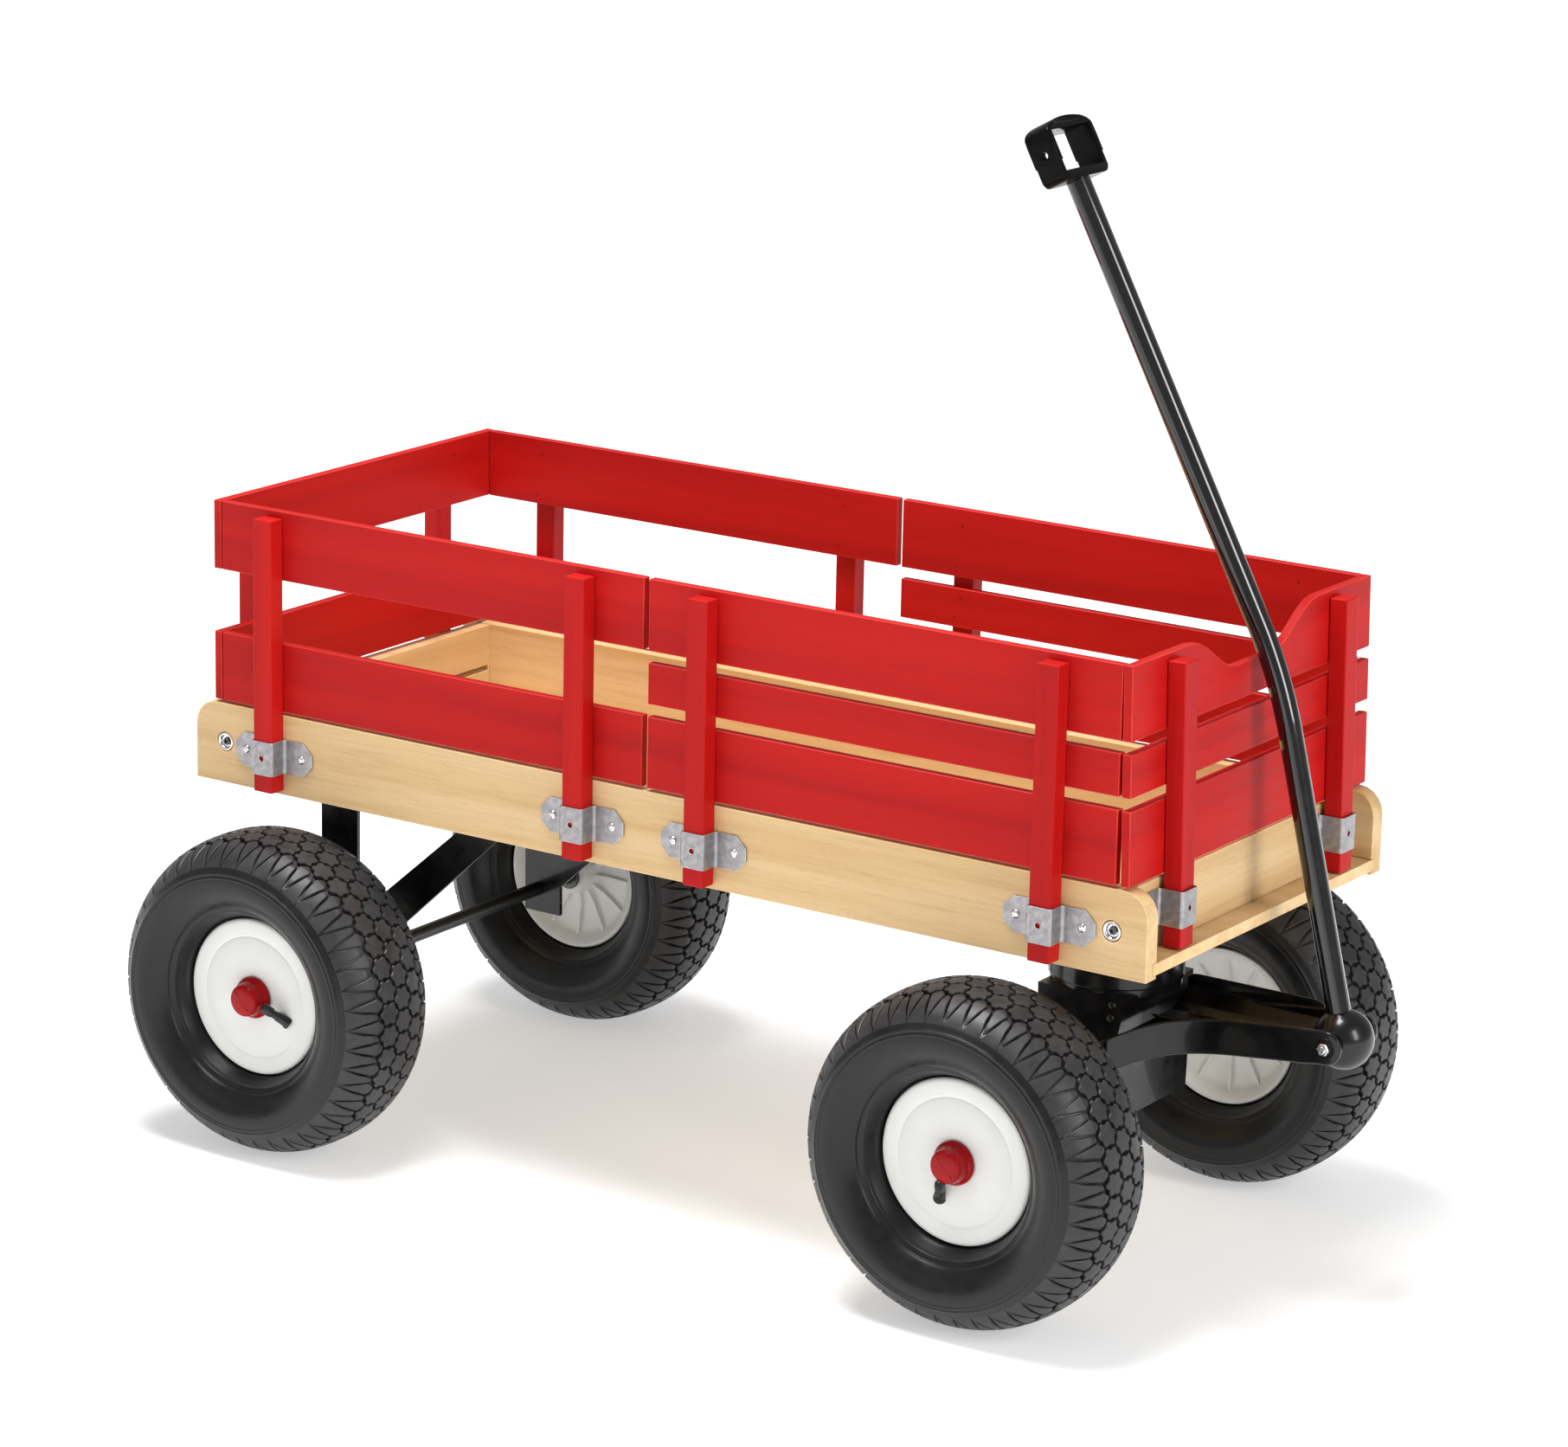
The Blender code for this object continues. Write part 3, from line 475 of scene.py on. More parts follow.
def makeTray():
    softened("deck", [woodAlongX, woodEdge], tray["deckRounding"], faceFinish=deckFinish)
    boards = [(f"side_board_{side}", woodAlongX) for side in sides]
    boards += [(f"{end}_end_board", woodAlongY) for end in ("front", "rear")]
    for node, along in boards:
        rounding = tray["boardRounding"]
        softened(node, [along, woodEdge], rounding, faceFinish=trayEdgeFinish)
    makeCornerBolts()


def makeCornerBolts():
    radius = tray["boltRadius"]
    cup = [(0.0, -0.0026), (0.50, -0.0026), (0.62, -0.0024), (0.74, -0.0006), (0.84, -0.0001)]
    cup += [(0.95, -0.0003), (1.0, -0.0009), (1.0, -0.0036), (0.0, -0.0036)]
    cup = [(radius * share, height) for share, height in cup]
    steps = ((0.42, -0.0030), (0.44, -0.0012), (0.40, -0.0008), (0.22, -0.0008), (0.21, -0.0022))
    head = loftShape([ringPoints(radius * scale, 6, "Y", height) for scale, height in steps])
    parts = (
        ("bolt_cup", toMesh(turned(cup, 40), [screwSteel], sharpAngle=50), "zinc_strap"),
        ("bolt_head", toMesh(head, [darkSteel], smooth=False), "black_enamelled_steel"),
    )
    for side, facing in sides.items():
        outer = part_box(f"side_board_{side}")[1 if facing > 0 else 0].y
        for end, direction in (("front", 1), ("rear", -1)):
            place = (middleX + direction * tray["boltX"], outer, tray["boltZ"])
            where = facingPlace(place, 0 if facing > 0 else math.pi)
            for label, mesh, slotName in parts:
                toPiece(f"{label}_{side}_{end}", mesh, "cart", where=where)


makeTray()
print("tray made")


# the rail panels: rails, stakes and nails
panel = {"railRounding": 0.0007, "stakeRounding": 0.0012}
panelNames = ("right_front", "right_rear", "left_front", "left_rear", "front_end", "rear_end")


def makePanels():
    for node in sorted(nodes):
        if "_rail_" in node:
            along = redAlongY if "_end_" in node else redAlongX
            softened(node, [along, redEdgeWearAndHighlight], panel["railRounding"])
        elif "_stake_" in node and not node.startswith("stake_clip"):
            softened(node, [redUpright, redUpright], panel["stakeRounding"])


nail = {"radius": 0.0019, "inset": 0.0085, "sidestep": 0.0028, "frontInner": 0.429}


def nailPlace(panelName, railBox, stakeMiddle, lift, step):
    # on the rail's inner face, facing into the tray
    low, high = railBox
    if panelName == "front_end":
        lean = (frontLean["from"] - lift) * math.tan(frontLean["angle"])
        return facingPlace((middleX + nail["frontInner"] + lean, stakeMiddle.y + step, lift), math.pi / 2)
    if panelName == "rear_end":
        return facingPlace((high.x, stakeMiddle.y + step, lift), -math.pi / 2)
    if panelName.startswith("left"):
        return facingPlace((stakeMiddle.x + step, low.y, lift), math.pi)
    return facingPlace((stakeMiddle.x + step, high.y, lift))


def makeNails():
    # two sunk and painted nail heads hold each rail to each of its stakes; their darker red is painted shade
    # standing in for the dimples they sit in
    radius = nail["radius"]
    profile = [(0.0, 0.0), (radius * 0.6, 0.00005), (radius, -0.0002), (radius, -0.0012), (0.0, -0.0012)]
    headMesh = toMesh(turned(profile, 12), [redNailDimpleShade], sharpAngle=60)
    for panelName in panelNames:
        rails = sorted(node for node in nodes if node.startswith(f"{panelName}_rail_"))
        for stakeNumber in (1, 2):
            stakeLow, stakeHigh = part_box(f"{panelName}_stake_{stakeNumber}")
            middle = (stakeLow + stakeHigh) / 2
            for rail in rails:
                low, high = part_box(rail)
                lifts = (min(high.z, stakeHigh.z) - nail["inset"], low.z + nail["inset"])
                for number, lift in enumerate(lifts, start=1):
                    step = nail["sidestep"] * (1 if number == 1 else -1)
                    where = nailPlace(panelName, (low, high), middle, lift, step)
                    name = f"nail_{rail}_{stakeNumber}_{number}"
                    toPiece(name, headMesh, nodes[rail]["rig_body"], where=where)


makePanels()
makeNails()
print("rail panels made")


# the stake clips: bent straps with a pocket for the stake, each held by two screws
clip = {
    "sheet": 0.0015, "halfLength": 0.0403, "height": 0.0285, "cornerCut": 0.009, "pocketHalf": 0.0099,
    "pocketDepth": 0.0163, "crownBend": 0.0019, "earBend": 0.0034, "holeRadius": 0.0023,
    "screwPlace": 0.029, "screwRadius": 0.0036, "frontZ": 0.335, "gap": 0.0003,
}


def roundedLine(points, radii, steps=5):
    # an open line whose inner corners are rounded to the given radii
    line = [Vector(points[0])]
    for index in range(1, len(points) - 1):
        corner = Vector(points[index])
        back = (Vector(points[index - 1]) - corner).normalized()
        onward = (Vector(points[index + 1]) - corner).normalized()
        angle = back.angle(onward)
        reach = radii[index - 1] / math.tan(angle / 2)
        centre = corner + (back + onward).normalized() * (radii[index - 1] / math.sin(angle / 2))
        start, end = corner + back * reach - centre, corner + onward * reach - centre
        for step in range(steps + 1):
            part = start.lerp(end, step / steps)
            line.append(centre + part.normalized() * radii[index - 1])
    line.append(Vector(points[-1]))
    return line


def makeClipMesh(lift):
    half = clip["sheet"] / 2
    wall = clip["pocketHalf"] + half
    crown = lift + clip["pocketDepth"] + half
    ear = clip["gap"] + half
    length = clip["halfLength"]
    corners = [(-length, ear), (-wall, ear), (-wall, crown), (wall, crown), (wall, ear), (length, ear)]
    line = roundedLine(corners, (clip["earBend"], clip["crownBend"], clip["crownBend"], clip["earBend"]))
    outer, inner = [], []
    for index, point in enumerate(line):
        along = (line[min(index + 1, len(line) - 1)] - line[max(index - 1, 0)]).normalized()
        across = Vector((-along.y, along.x)) * half
        outer.append(point + across)
        inner.append(point - across)
    shape = bmesh.new()
    rings = []
    for level in (-clip["height"] / 2, clip["height"] / 2):
        rings.append([shape.verts.new((point.x, point.y, level)) for point in outer + inner[::-1]])
    stitchRings(shape, rings)
    count = len(line)
    for ring in rings:
        for index in range(count - 1):
            back = 2 * count - 1 - index
            shape.faces.new((ring[index], ring[index + 1], ring[back - 1], ring[back]))
    for alongSign in (-1, 1):
        for upSign in (-1, 1):
            corner = Vector((alongSign * (length - clip["cornerCut"]), 0, upSign * clip["height"] / 2))
            outward = Vector((alongSign, 0, upSign))
            everything = shape.verts[:] + shape.edges[:] + shape.faces[:]
            cut = bmesh.ops.bisect_plane(
                shape, geom=everything, plane_co=corner, plane_no=outward, clear_outer=True
            )
            cutEdges = [item for item in cut["geom_cut"] if isinstance(item, bmesh.types.BMEdge)]
            bmesh.ops.edgeloop_fill(shape, edges=cutEdges)
    bmesh.ops.recalc_face_normals(shape, faces=shape.faces)
    bmesh.ops.dissolve_limit(shape, angle_limit=math.radians(0.5), verts=shape.verts, edges=shape.edges)
    solid = toMesh(shape, [zinc, zincEdgeAndHighlight], smooth=False)
    hole, below, above = clip["holeRadius"], crown - 0.006, crown + 0.006
    drill = turned([(0, below), (hole, below), (hole, above), (0, above)], 24)
    solid = cutAway(solid, toMesh(drill, [zinc], smooth=False))
    rounded = bmesh.new()
    rounded.from_mesh(solid)
    # the rounded edges take the brighter steel, a painted highlight as well as the bare cut edge
    roundEdges(rounded, 0.00028, 2, 40, 1)
    return evenNormals(toMesh(rounded, [zinc, zincEdgeAndHighlight]))


def cutAway(mesh, toolMesh):
    tool = bpy.data.objects.new("cutting_tool", toolMesh)
    bpy.context.scene.collection.objects.link(tool)
    result = settle(mesh, [("BOOLEAN", {"object": tool, "operation": "DIFFERENCE", "solver": "EXACT"})])
    bpy.data.objects.remove(tool, do_unlink=True)
    return result


def boxMesh(low, high, finishes=()):
    shape = bmesh.new()
    size = [top - bottom for bottom, top in zip(low, high)]
    middle = Vector([(top + bottom) / 2 for bottom, top in zip(low, high)])
    place = Matrix.Translation(middle) @ Matrix.Diagonal((*size, 1))
    bmesh.ops.create_cube(shape, size=1, matrix=place)
    return toMesh(shape, finishes, smooth=False)


def makeScrewMesh():
    radius = clip["screwRadius"]
    profile = [(0.0, 0.0018), (radius * 0.55, 0.00165), (radius * 0.85, 0.0011)]
    profile += [(radius, 0.0003), (radius, -0.0006), (0.0, -0.0006)]
    mesh = toMesh(turned(profile, 24), [screwSteel], smooth=False)
    for turn in (0, math.pi / 2):
        slotMesh = boxMesh((-radius * 0.62, 0.0009, -0.0005), (radius * 0.62, 0.004, 0.0005), [darkSteel])
        slotMesh.transform(Matrix.Rotation(turn + 0.5, 4, "Y"))
        mesh = cutAway(mesh, slotMesh)
    mesh.shade_smooth()
    mesh.set_sharp_from_angle(angle=math.radians(40))
    return mesh


def makeClips():
    sideMesh = makeClipMesh(0)
    # the front stakes lean, so their clips stand out by the lean at their upper edge
    frontDrop = frontLean["from"] - clip["frontZ"] + clip["height"] / 2
    frontMesh = makeClipMesh(frontDrop * math.tan(frontLean["angle"]))
    screwMesh = makeScrewMesh()
    turns = {"left": 0.0, "right": math.pi, "front": -math.pi / 2, "rear": math.pi / 2}
    for node in sorted(node for node in nodes if node.startswith("stake_clip_")):
        side = node.split("_")[2]
        low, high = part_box(node)
        middle = (low + high) / 2
        backs = {
            "left": (middle.x, low.y), "right": (middle.x, high.y),
            "front": (low.x, middle.y), "rear": (high.x, middle.y),
        }
        back = Matrix.Rotation(turns[side], 4, "Z")
        place = Vector((*backs[side], middle.z)) - back @ Vector((0, clip["gap"], 0))
        where = Matrix.Translation(place) @ back
        strapMesh = frontMesh if side == "front" else sideMesh
        toPiece(f"{node}_strap", strapMesh, "cart", [node], where)
        for number, along in enumerate((-clip["screwPlace"], clip["screwPlace"]), start=1):
            turn = Matrix.Rotation(1.3 * number + 7 * middle.x + 11 * middle.y, 4, "Y")
            screwWhere = where @ Matrix.Translation((along, 0.0018, 0)) @ turn
            toPiece(f"{node}_screw_{number}", screwMesh, "cart", where=screwWhere)


makeClips()
print("stake clips made")


# the wheels: tyre, wheel disc, hub cap and valve, one mesh of each for all four
tyre = {
    "radius": 0.135, "blocksAround": 44, "rowPlace": 0.0168, "tipRadius": 0.0098, "notchRadius": 0.0075,
    "grooveDepth": 0.0034, "fadeStart": 0.038, "fadeLength": 0.022, "bevel": 0.00065, "rings": 144,
    # rings on the sidewall: radius, height and width
    "ridges": (
        (0.1094, 0.0008, 0.0008), (0.1062, 0.0005, 0.0006),
        (0.0752, 0.0009, 0.0012), (0.0778, -0.0006, 0.0008),
    ),
    # shoulder blocks: distance from the middle of the tread and half width
    "lug": (
        (0.0290, 0.0010), (0.0305, 0.0023), (0.0350, 0.0036), (0.0400, 0.0041),
        (0.0450, 0.0055), (0.0500, 0.0071), (0.0560, 0.0086), (0.0610, 0.0089),
    ),
    "wedge": (
        (0.0238, 0.0014), (0.0262, 0.0038), (0.0290, 0.0057), (0.0330, 0.0049),
        (0.0380, 0.0038), (0.0430, 0.0028), (0.0480, 0.0016), (0.0530, 0.0006),
    ),
}


def tyreSection():
    # the outer surface in section, from the middle of the tread to the bead, with the way out at each point
    corners = [
        (0.0, 0.1350), (0.0110, 0.1347), (0.0215, 0.1332), (0.0315, 0.1299), (0.0405, 0.1248),
        (0.0480, 0.1182), (0.0530, 0.1108), (0.0551, 0.1030), (0.0545, 0.0950), (0.0508, 0.0872),
        (0.0450, 0.0800), (0.0380, 0.0743), (0.0310, 0.0702), (0.0285, 0.0684),
    ]
    mirrored = (-corners[1][0], corners[1][1])
    line = smoothLine([Vector(corner) for corner in [mirrored] + corners], 0.0005)
    while line[0].x < -1e-9:
        line.pop(0)
    section, travelled = [], 0.0
    for index, point in enumerate(line):
        if index:
            travelled += (point - line[index - 1]).length
        along = (line[min(index + 1, len(line) - 1)] - line[max(index - 1, 0)]).normalized()
        section.append((travelled, point, Vector((-along.y, along.x))))
    return section


def onSection(section, distance, height):
    # radius and offset of a point at a distance from the middle of the tread, and a height above the surface
    reach = min(abs(distance), section[-1][0])
    low, high = 0, len(section) - 1
    while high - low > 1:
        half = (low + high) // 2
        if section[half][0] <= reach:
            low = half
        else:
            high = half
    before, after = section[low], section[high]
    share = (reach - before[0]) / max(1e-9, after[0] - before[0])
    point = before[1].lerp(after[1], share)
    out = before[2].lerp(after[2], share).normalized()
    spot = point + out * height
    return spot.y, math.copysign(spot.x, distance)


def onTyre(section, around, distance, height):
    radius, offset = onSection(section, distance, height)
    angle = around / tyre["radius"]
    return (radius * math.cos(angle), offset, radius * math.sin(angle))


def grooveDepth(distance):
    # full depth across the tread, fading to nothing on the sidewall
    fade = min(1.0, max(0.0, (abs(distance) - tyre["fadeStart"]) / tyre["fadeLength"]))
    return tyre["grooveDepth"] * (1 - fade * fade * (3 - 2 * fade))


def addStar(shape, section, around, distance):
    # a tread block with six blunt points and a small nub in the middle
    tip, notch = tyre["tipRadius"], tyre["notchRadius"]
    rings = []
    for grow, height in ((0.0004, -0.0039), (0.0, -tyre["bevel"]), (-tyre["bevel"], 0.0)):
        ring = []
        for point in range(6):
            for turn, radius in ((-7, tip), (7, tip), (30, notch)):
                angle = math.radians(30 + 60 * point + turn)
                reach = radius + grow
                spot = (around + reach * math.cos(angle), distance + reach * math.sin(angle) * 0.98)
                ring.append(shape.verts.new(onTyre(section, *spot, height)))
        rings.append(ring)
    stitchRings(shape, rings)
    shape.faces.new(rings[0])
    nub = []
    for point in range(18):
        angle = math.radians(30 + 20 * point)
        spot = (around + 0.0009 * math.cos(angle), distance + 0.0009 * math.sin(angle))
        nub.append(shape.verts.new(onTyre(section, *spot, 0.0)))
    peak = shape.verts.new(onTyre(section, around, distance, 0.0))
    stitchRings(shape, [rings[-1], nub, [peak]])


def addLug(shape, section, around, stations, side):
    # a block along the shoulder on one side of the tread
    rings = []
    for index, (distance, half) in enumerate(stations):
        deep = grooveDepth(distance)
        chamfer = min(tyre["bevel"], deep * 0.4, half * 0.5)
        outline = [(-half - 0.0003, -deep - 0.0005), (-half, -chamfer), (-half + chamfer, 0.0)]
        outline += [(half - chamfer, 0.0), (half, -chamfer), (half + 0.0003, -deep - 0.0005)]
        if index in (0, len(stations) - 1):
            drop = -chamfer if index == 0 else -deep - 0.0003
            outline = [(step, min(height, drop)) for step, height in outline]
        points = [onTyre(section, around + step, side * distance, height) for step, height in outline]
        rings.append([shape.verts.new(point) for point in points])
    first, half = stations[0]
    foot = []
    for share in (-1, -0.6, -0.2, 0.2, 0.6, 1):
        spot = (around + share * (half + 0.0003), side * first * 0.995, -grooveDepth(first) - 0.0005)
        foot.append(shape.verts.new(onTyre(section, *spot)))
    stitchRings(shape, [foot] + rings)
    shape.faces.new(foot)
    shape.faces.new(rings[-1])


def makeTyreMesh():
    section = tyreSection()
    total = section[-1][0]
    profile = []
    distance = 0.0
    while distance < total:
        radius, _ = onSection(section, distance, 0)
        height = -grooveDepth(distance)
        if distance > 0.045:
            for ridge, lift, width in tyre["ridges"]:
                height += lift * math.exp(-(((radius - ridge) / width) ** 2))
        profile.append(onSection(section, distance, height))
        fine = 0.100 < radius < 0.112 or radius < 0.081
        distance += 0.0005 if fine and distance > 0.04 else 0.0026
    # the bead and the inside of the casing
    half = profile + [(0.0677, 0.0262), (0.0672, 0.0232), (0.0612, 0.0213), (0.0612, 0.0160)]
    half += [(0.0760, 0.0330), (0.0900, 0.0440), (0.1060, 0.0450), (0.1210, 0.0300)]
    closed = half + [(radius, -offset) for radius, offset in reversed(half[1:])]
    shape = turned(closed, tyre["rings"], "Y", ring=True)
    casingFaces = len(shape.faces)
    pitch = 2 * math.pi * tyre["radius"] / tyre["blocksAround"]
    for count in range(tyre["blocksAround"]):
        addStar(shape, section, count * pitch, 0.0)
        for side in (-1, 1):
            addStar(shape, section, (count + 0.5) * pitch, side * tyre["rowPlace"])
            addLug(shape, section, (count + 0.5) * pitch, tyre["lug"], side)
            addLug(shape, section, count * pitch, tyre["wedge"], side)
    shape.faces.ensure_lookup_table()
    for face in shape.faces[casingFaces:]:
        face.material_index = 1
    bmesh.ops.recalc_face_normals(shape, faces=shape.faces)
    return toMesh(shape, [sideRubber, treadRubber], sharpAngle=32)


# the wheel disc in section, as (radius, distance from the middle), all the way round
discSection = (
    (0.0064, 0.0270), (0.0180, 0.0270), (0.0205, 0.0274), (0.0340, 0.0277), (0.0494, 0.0278),
    (0.0502, 0.0275), (0.0510, 0.0271), (0.0518, 0.0275), (0.0526, 0.0278), (0.0620, 0.0279),
    (0.0638, 0.0276), (0.0652, 0.0268), (0.0659, 0.0255), (0.0658, 0.0241), (0.0600, 0.0223),
    (0.0562, 0.0120), (0.0562, -0.0120), (0.0600, -0.0221), (0.0655, -0.0238), (0.0660, -0.0252),
    (0.0652, -0.0266), (0.0625, -0.0268), (0.0588, -0.0236),
    (0.0562, -0.0190), (0.0545, -0.0166), (0.0510, -0.0150), (0.0400, -0.0128), (0.0240, -0.0112),
    (0.0190, -0.0116), (0.0172, -0.0140), (0.0164, -0.0280), (0.0156, -0.0297), (0.0140, -0.0299),
    (0.0064, -0.0299),
)
discRib = {
    "count": 12, "half": 0.0009,
    "corners": (
        (0.0165, -0.0080), (0.0560, -0.0120), (0.0568, -0.0190),
        (0.0480, -0.0176), (0.0300, -0.0152), (0.0168, -0.0170),
    ),
}


def makeDiscMesh():
    shape = turned(discSection, 96, "Y", ring=True)
    for rib in range(discRib["count"]):
        turn = Matrix.Rotation(2 * math.pi * rib / discRib["count"], 4, "Y")
        rings = []
        for side in (-discRib["half"], discRib["half"]):
            points = [turn @ Vector((radius, height, side)) for radius, height in discRib["corners"]]
            rings.append([shape.verts.new(point) for point in points])
        stitchRings(shape, rings)
        shape.faces.new(rings[0])
        shape.faces.new(rings[1])
    bmesh.ops.recalc_face_normals(shape, faces=shape.faces)
    return toMesh(shape, [whitePlastic], sharpAngle=38)


def makeCapMesh():
    outer = [(0.0, 0.0436), (0.0060, 0.0435), (0.0105, 0.0431), (0.0123, 0.0424), (0.0132, 0.0410)]
    outer += [(0.0137, 0.0385), (0.0141, 0.0345), (0.0148, 0.0328), (0.0160, 0.0318), (0.0171, 0.0309)]
    outer += [(0.0176, 0.0296), (0.0176, 0.0281)]
    inner = [(0.0100, 0.0281), (0.0100, 0.0385), (0.0, 0.0385)]
    cap = toMesh(turned(outer + inner, 48), [redPlastic], sharpAngle=60)
    # the moulding seam stands proud across the end
    seam = boxMesh((-0.0098, 0.0430, -0.00025), (0.0098, 0.04375, 0.00025), [redPlastic])
    joined = bmesh.new()
    joined.from_mesh(cap)
    joined.from_mesh(seam)
    return toMesh(joined, [redPlastic], sharpAngle=60)


def makeValveMesh():
    profile = [(0.0, -0.0010), (0.0052, -0.0010), (0.0054, 0.0006), (0.0046, 0.0020), (0.0041, 0.0060)]
    profile += [(0.0040, 0.0105), (0.0034, 0.0112), (0.0033, 0.0155), (0.0039, 0.0158), (0.0042, 0.0165)]
    profile += [(0.0042, 0.0232), (0.0038, 0.0248), (0.0026, 0.0256), (0.0, 0.0258)]
    return toMesh(turned(profile, 20, "Z"), [valveRubber], sharpAngle=40)


# where each valve starts and where its tip points, from the wheel's middle, as (forward, up)
valveReach = {"root": 0.0278, "tip": 0.0430}
valvePlaces = {
    "front_right": ((-0.0121, -0.0307), (-0.0030, -0.0125)),
    "rear_right": ((0.0359, -0.0149), (0.0205, 0.0000)),
    "front_left": ((-0.0300, 0.0150), (-0.0130, 0.0060)),
    "rear_left": ((0.0080, 0.0330), (0.0030, 0.0130)),
}


def makeWheels():
    tyreMesh, discMesh, capMesh, valveMesh = makeTyreMesh(), makeDiscMesh(), makeCapMesh(), makeValveMesh()
    print("tyre faces:", len(tyreMesh.polygons))
    for number, (wheel, (root, tip)) in enumerate(valvePlaces.items()):
        body = f"{wheel}_wheel"
        facing = 1 if wheel.endswith("left") else -1
        low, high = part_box(f"{wheel}_tyre")
        centre = (low + high) / 2
        centre.z = tyre["radius"]
        where = facingPlace(centre, 0 if facing > 0 else math.pi)
        discTurn = Matrix.Rotation(0.35 + 1.1 * number, 4, "Y")
        capTurn = Matrix.Rotation(-0.8, 4, "Y")
        toPiece(f"{wheel}_tyre_rubber", tyreMesh, body, [f"{wheel}_tyre"], where)
        toPiece(f"{wheel}_wheel_disc", discMesh, body, [f"{wheel}_rim"], where @ discTurn)
        toPiece(f"{wheel}_hub_cap", capMesh, body, where=where @ capTurn)
        start = Vector((root[0], facing * valveReach["root"], root[1]))
        end = Vector((tip[0], facing * valveReach["tip"], tip[1]))
        lean = (end - start).to_track_quat("Z", "Y").to_matrix().to_4x4()
        valveWhere = Matrix.Translation(centre + start) @ lean
        toPiece(f"{wheel}_valve", valveMesh, body, where=valveWhere)


makeWheels()
print("wheels made")


# the undercarriage; distances along the wagon are from the middle of the tray
steelWork = {
    "bracketRounding": 0.0011, "bolsterRounding": 0.0014, "forkRounding": 0.0030, "axleRounding": 0.0008,
}
tongue = {
    "armThickness": 0.004, "armHeight": 0.0285, "armRounding": 0.0018,
    # the upper edge: its height at one place, its slope, and how it droops behind the bend
    "topX": 0.511, "topZ": 0.2262, "slope": 0.115, "bendX": 0.410, "droop": 4.6,
    # the inner face: its distance from the middle at the front, and how it splays towards the back
    "inner": 0.0265, "splay": 0.0451, "splayStart": 0.445, "splayEnd": 0.3605,
    "lugX": 0.345, "tailX": 0.3145, "tailLow": 0.123, "tailHigh": 0.158,
    "noseStart": 0.5025, "noseX": 0.5275, "noseZ": 0.213, "noseRadius": 0.0135,
    "channelStart": 0.3735, "channelEnd": 0.4945, "sheet": 0.0016,
    "floorStart": 0.3705, "floorEnd": 0.4965, "floorLow": 0.1992, "floorHigh": 0.2022,
}


def armTop(x):
    behind = max(0.0, tongue["bendX"] - x)
    fall = tongue["slope"] * max(0.0, tongue["topX"] - x)
    return tongue["topZ"] - fall - tongue["droop"] * behind * behind


def armInner(x):
    share = (tongue["splayStart"] - x) / (tongue["splayStart"] - tongue["splayEnd"])
    share = min(1.0, max(0.0, share))
    return tongue["inner"] + tongue["splay"] * share * share


def armSpan(x):
    # lower and upper edge of an arm at a distance along the wagon
    if x < tongue["lugX"]:
        share = (tongue["lugX"] - x) / (tongue["lugX"] - tongue["tailX"])
        high = armTop(tongue["lugX"])
        low = high - tongue["armHeight"]
        return low * (1 - share) + tongue["tailLow"] * share, high * (1 - share) + tongue["tailHigh"] * share
    if x <= tongue["noseStart"]:
        return armTop(x) - tongue["armHeight"], armTop(x)
    if x <= tongue["noseX"]:
        share = (x - tongue["noseStart"]) / (tongue["noseX"] - tongue["noseStart"])
        high = armTop(tongue["noseStart"])
        low = high - tongue["armHeight"]
        ease = share * share * (3 - 2 * share)
        lowDrop = tongue["noseZ"] - tongue["noseRadius"] - low
        highDrop = tongue["noseZ"] + tongue["noseRadius"] - high
        return low + lowDrop * ease, high + highDrop * ease
    reach = math.sqrt(max(0.0, tongue["noseRadius"] ** 2 - (x - tongue["noseX"]) ** 2))
    return tongue["noseZ"] - reach, tongue["noseZ"] + reach


def roundedBar(y0, y1, z0, z1, radius, steps=4):
    # corners of an upright bar in section, each rounded off
    radius = min(radius, (y1 - y0) / 2 - 0.0001, (z1 - z0) / 2 - 0.0001)
    right, left, top, bottom = y1 - radius, y0 + radius, z1 - radius, z0 + radius
    points = []
    for cy, cz, first in ((right, top, 0), (left, top, 90), (left, bottom, 180), (right, bottom, 270)):
        for step in range(steps + 1):
            angle = math.radians(first + 90 * step / steps)
            points.append((cy + radius * math.cos(angle), cz + radius * math.sin(angle)))
    return points


def makeTongueArm(side):
    tail, nose, radius = tongue["tailX"], tongue["noseX"], tongue["noseRadius"]
    places = [tail + (nose - tail) * step / 70 for step in range(71)]
    places += [nose + radius * math.sin(math.radians(angle)) for angle in (12, 24, 36, 48, 60, 70, 79, 86)]
    rows = []
    for x in places:
        inner = armInner(x)
        span = sorted((side * inner, side * (inner + tongue["armThickness"])))
        section = roundedBar(*span, *armSpan(x), tongue["armRounding"])
        rows.append([(middleX + x, y, z) for y, z in section])
    name = "tongue_arm_right" if side < 0 else "tongue_arm_left"
    mesh = toMesh(loftShape(rows), [enamel], sharpAngle=50)
    return toPiece(name, mesh, "steering", ["tongue"] if side < 0 else [])


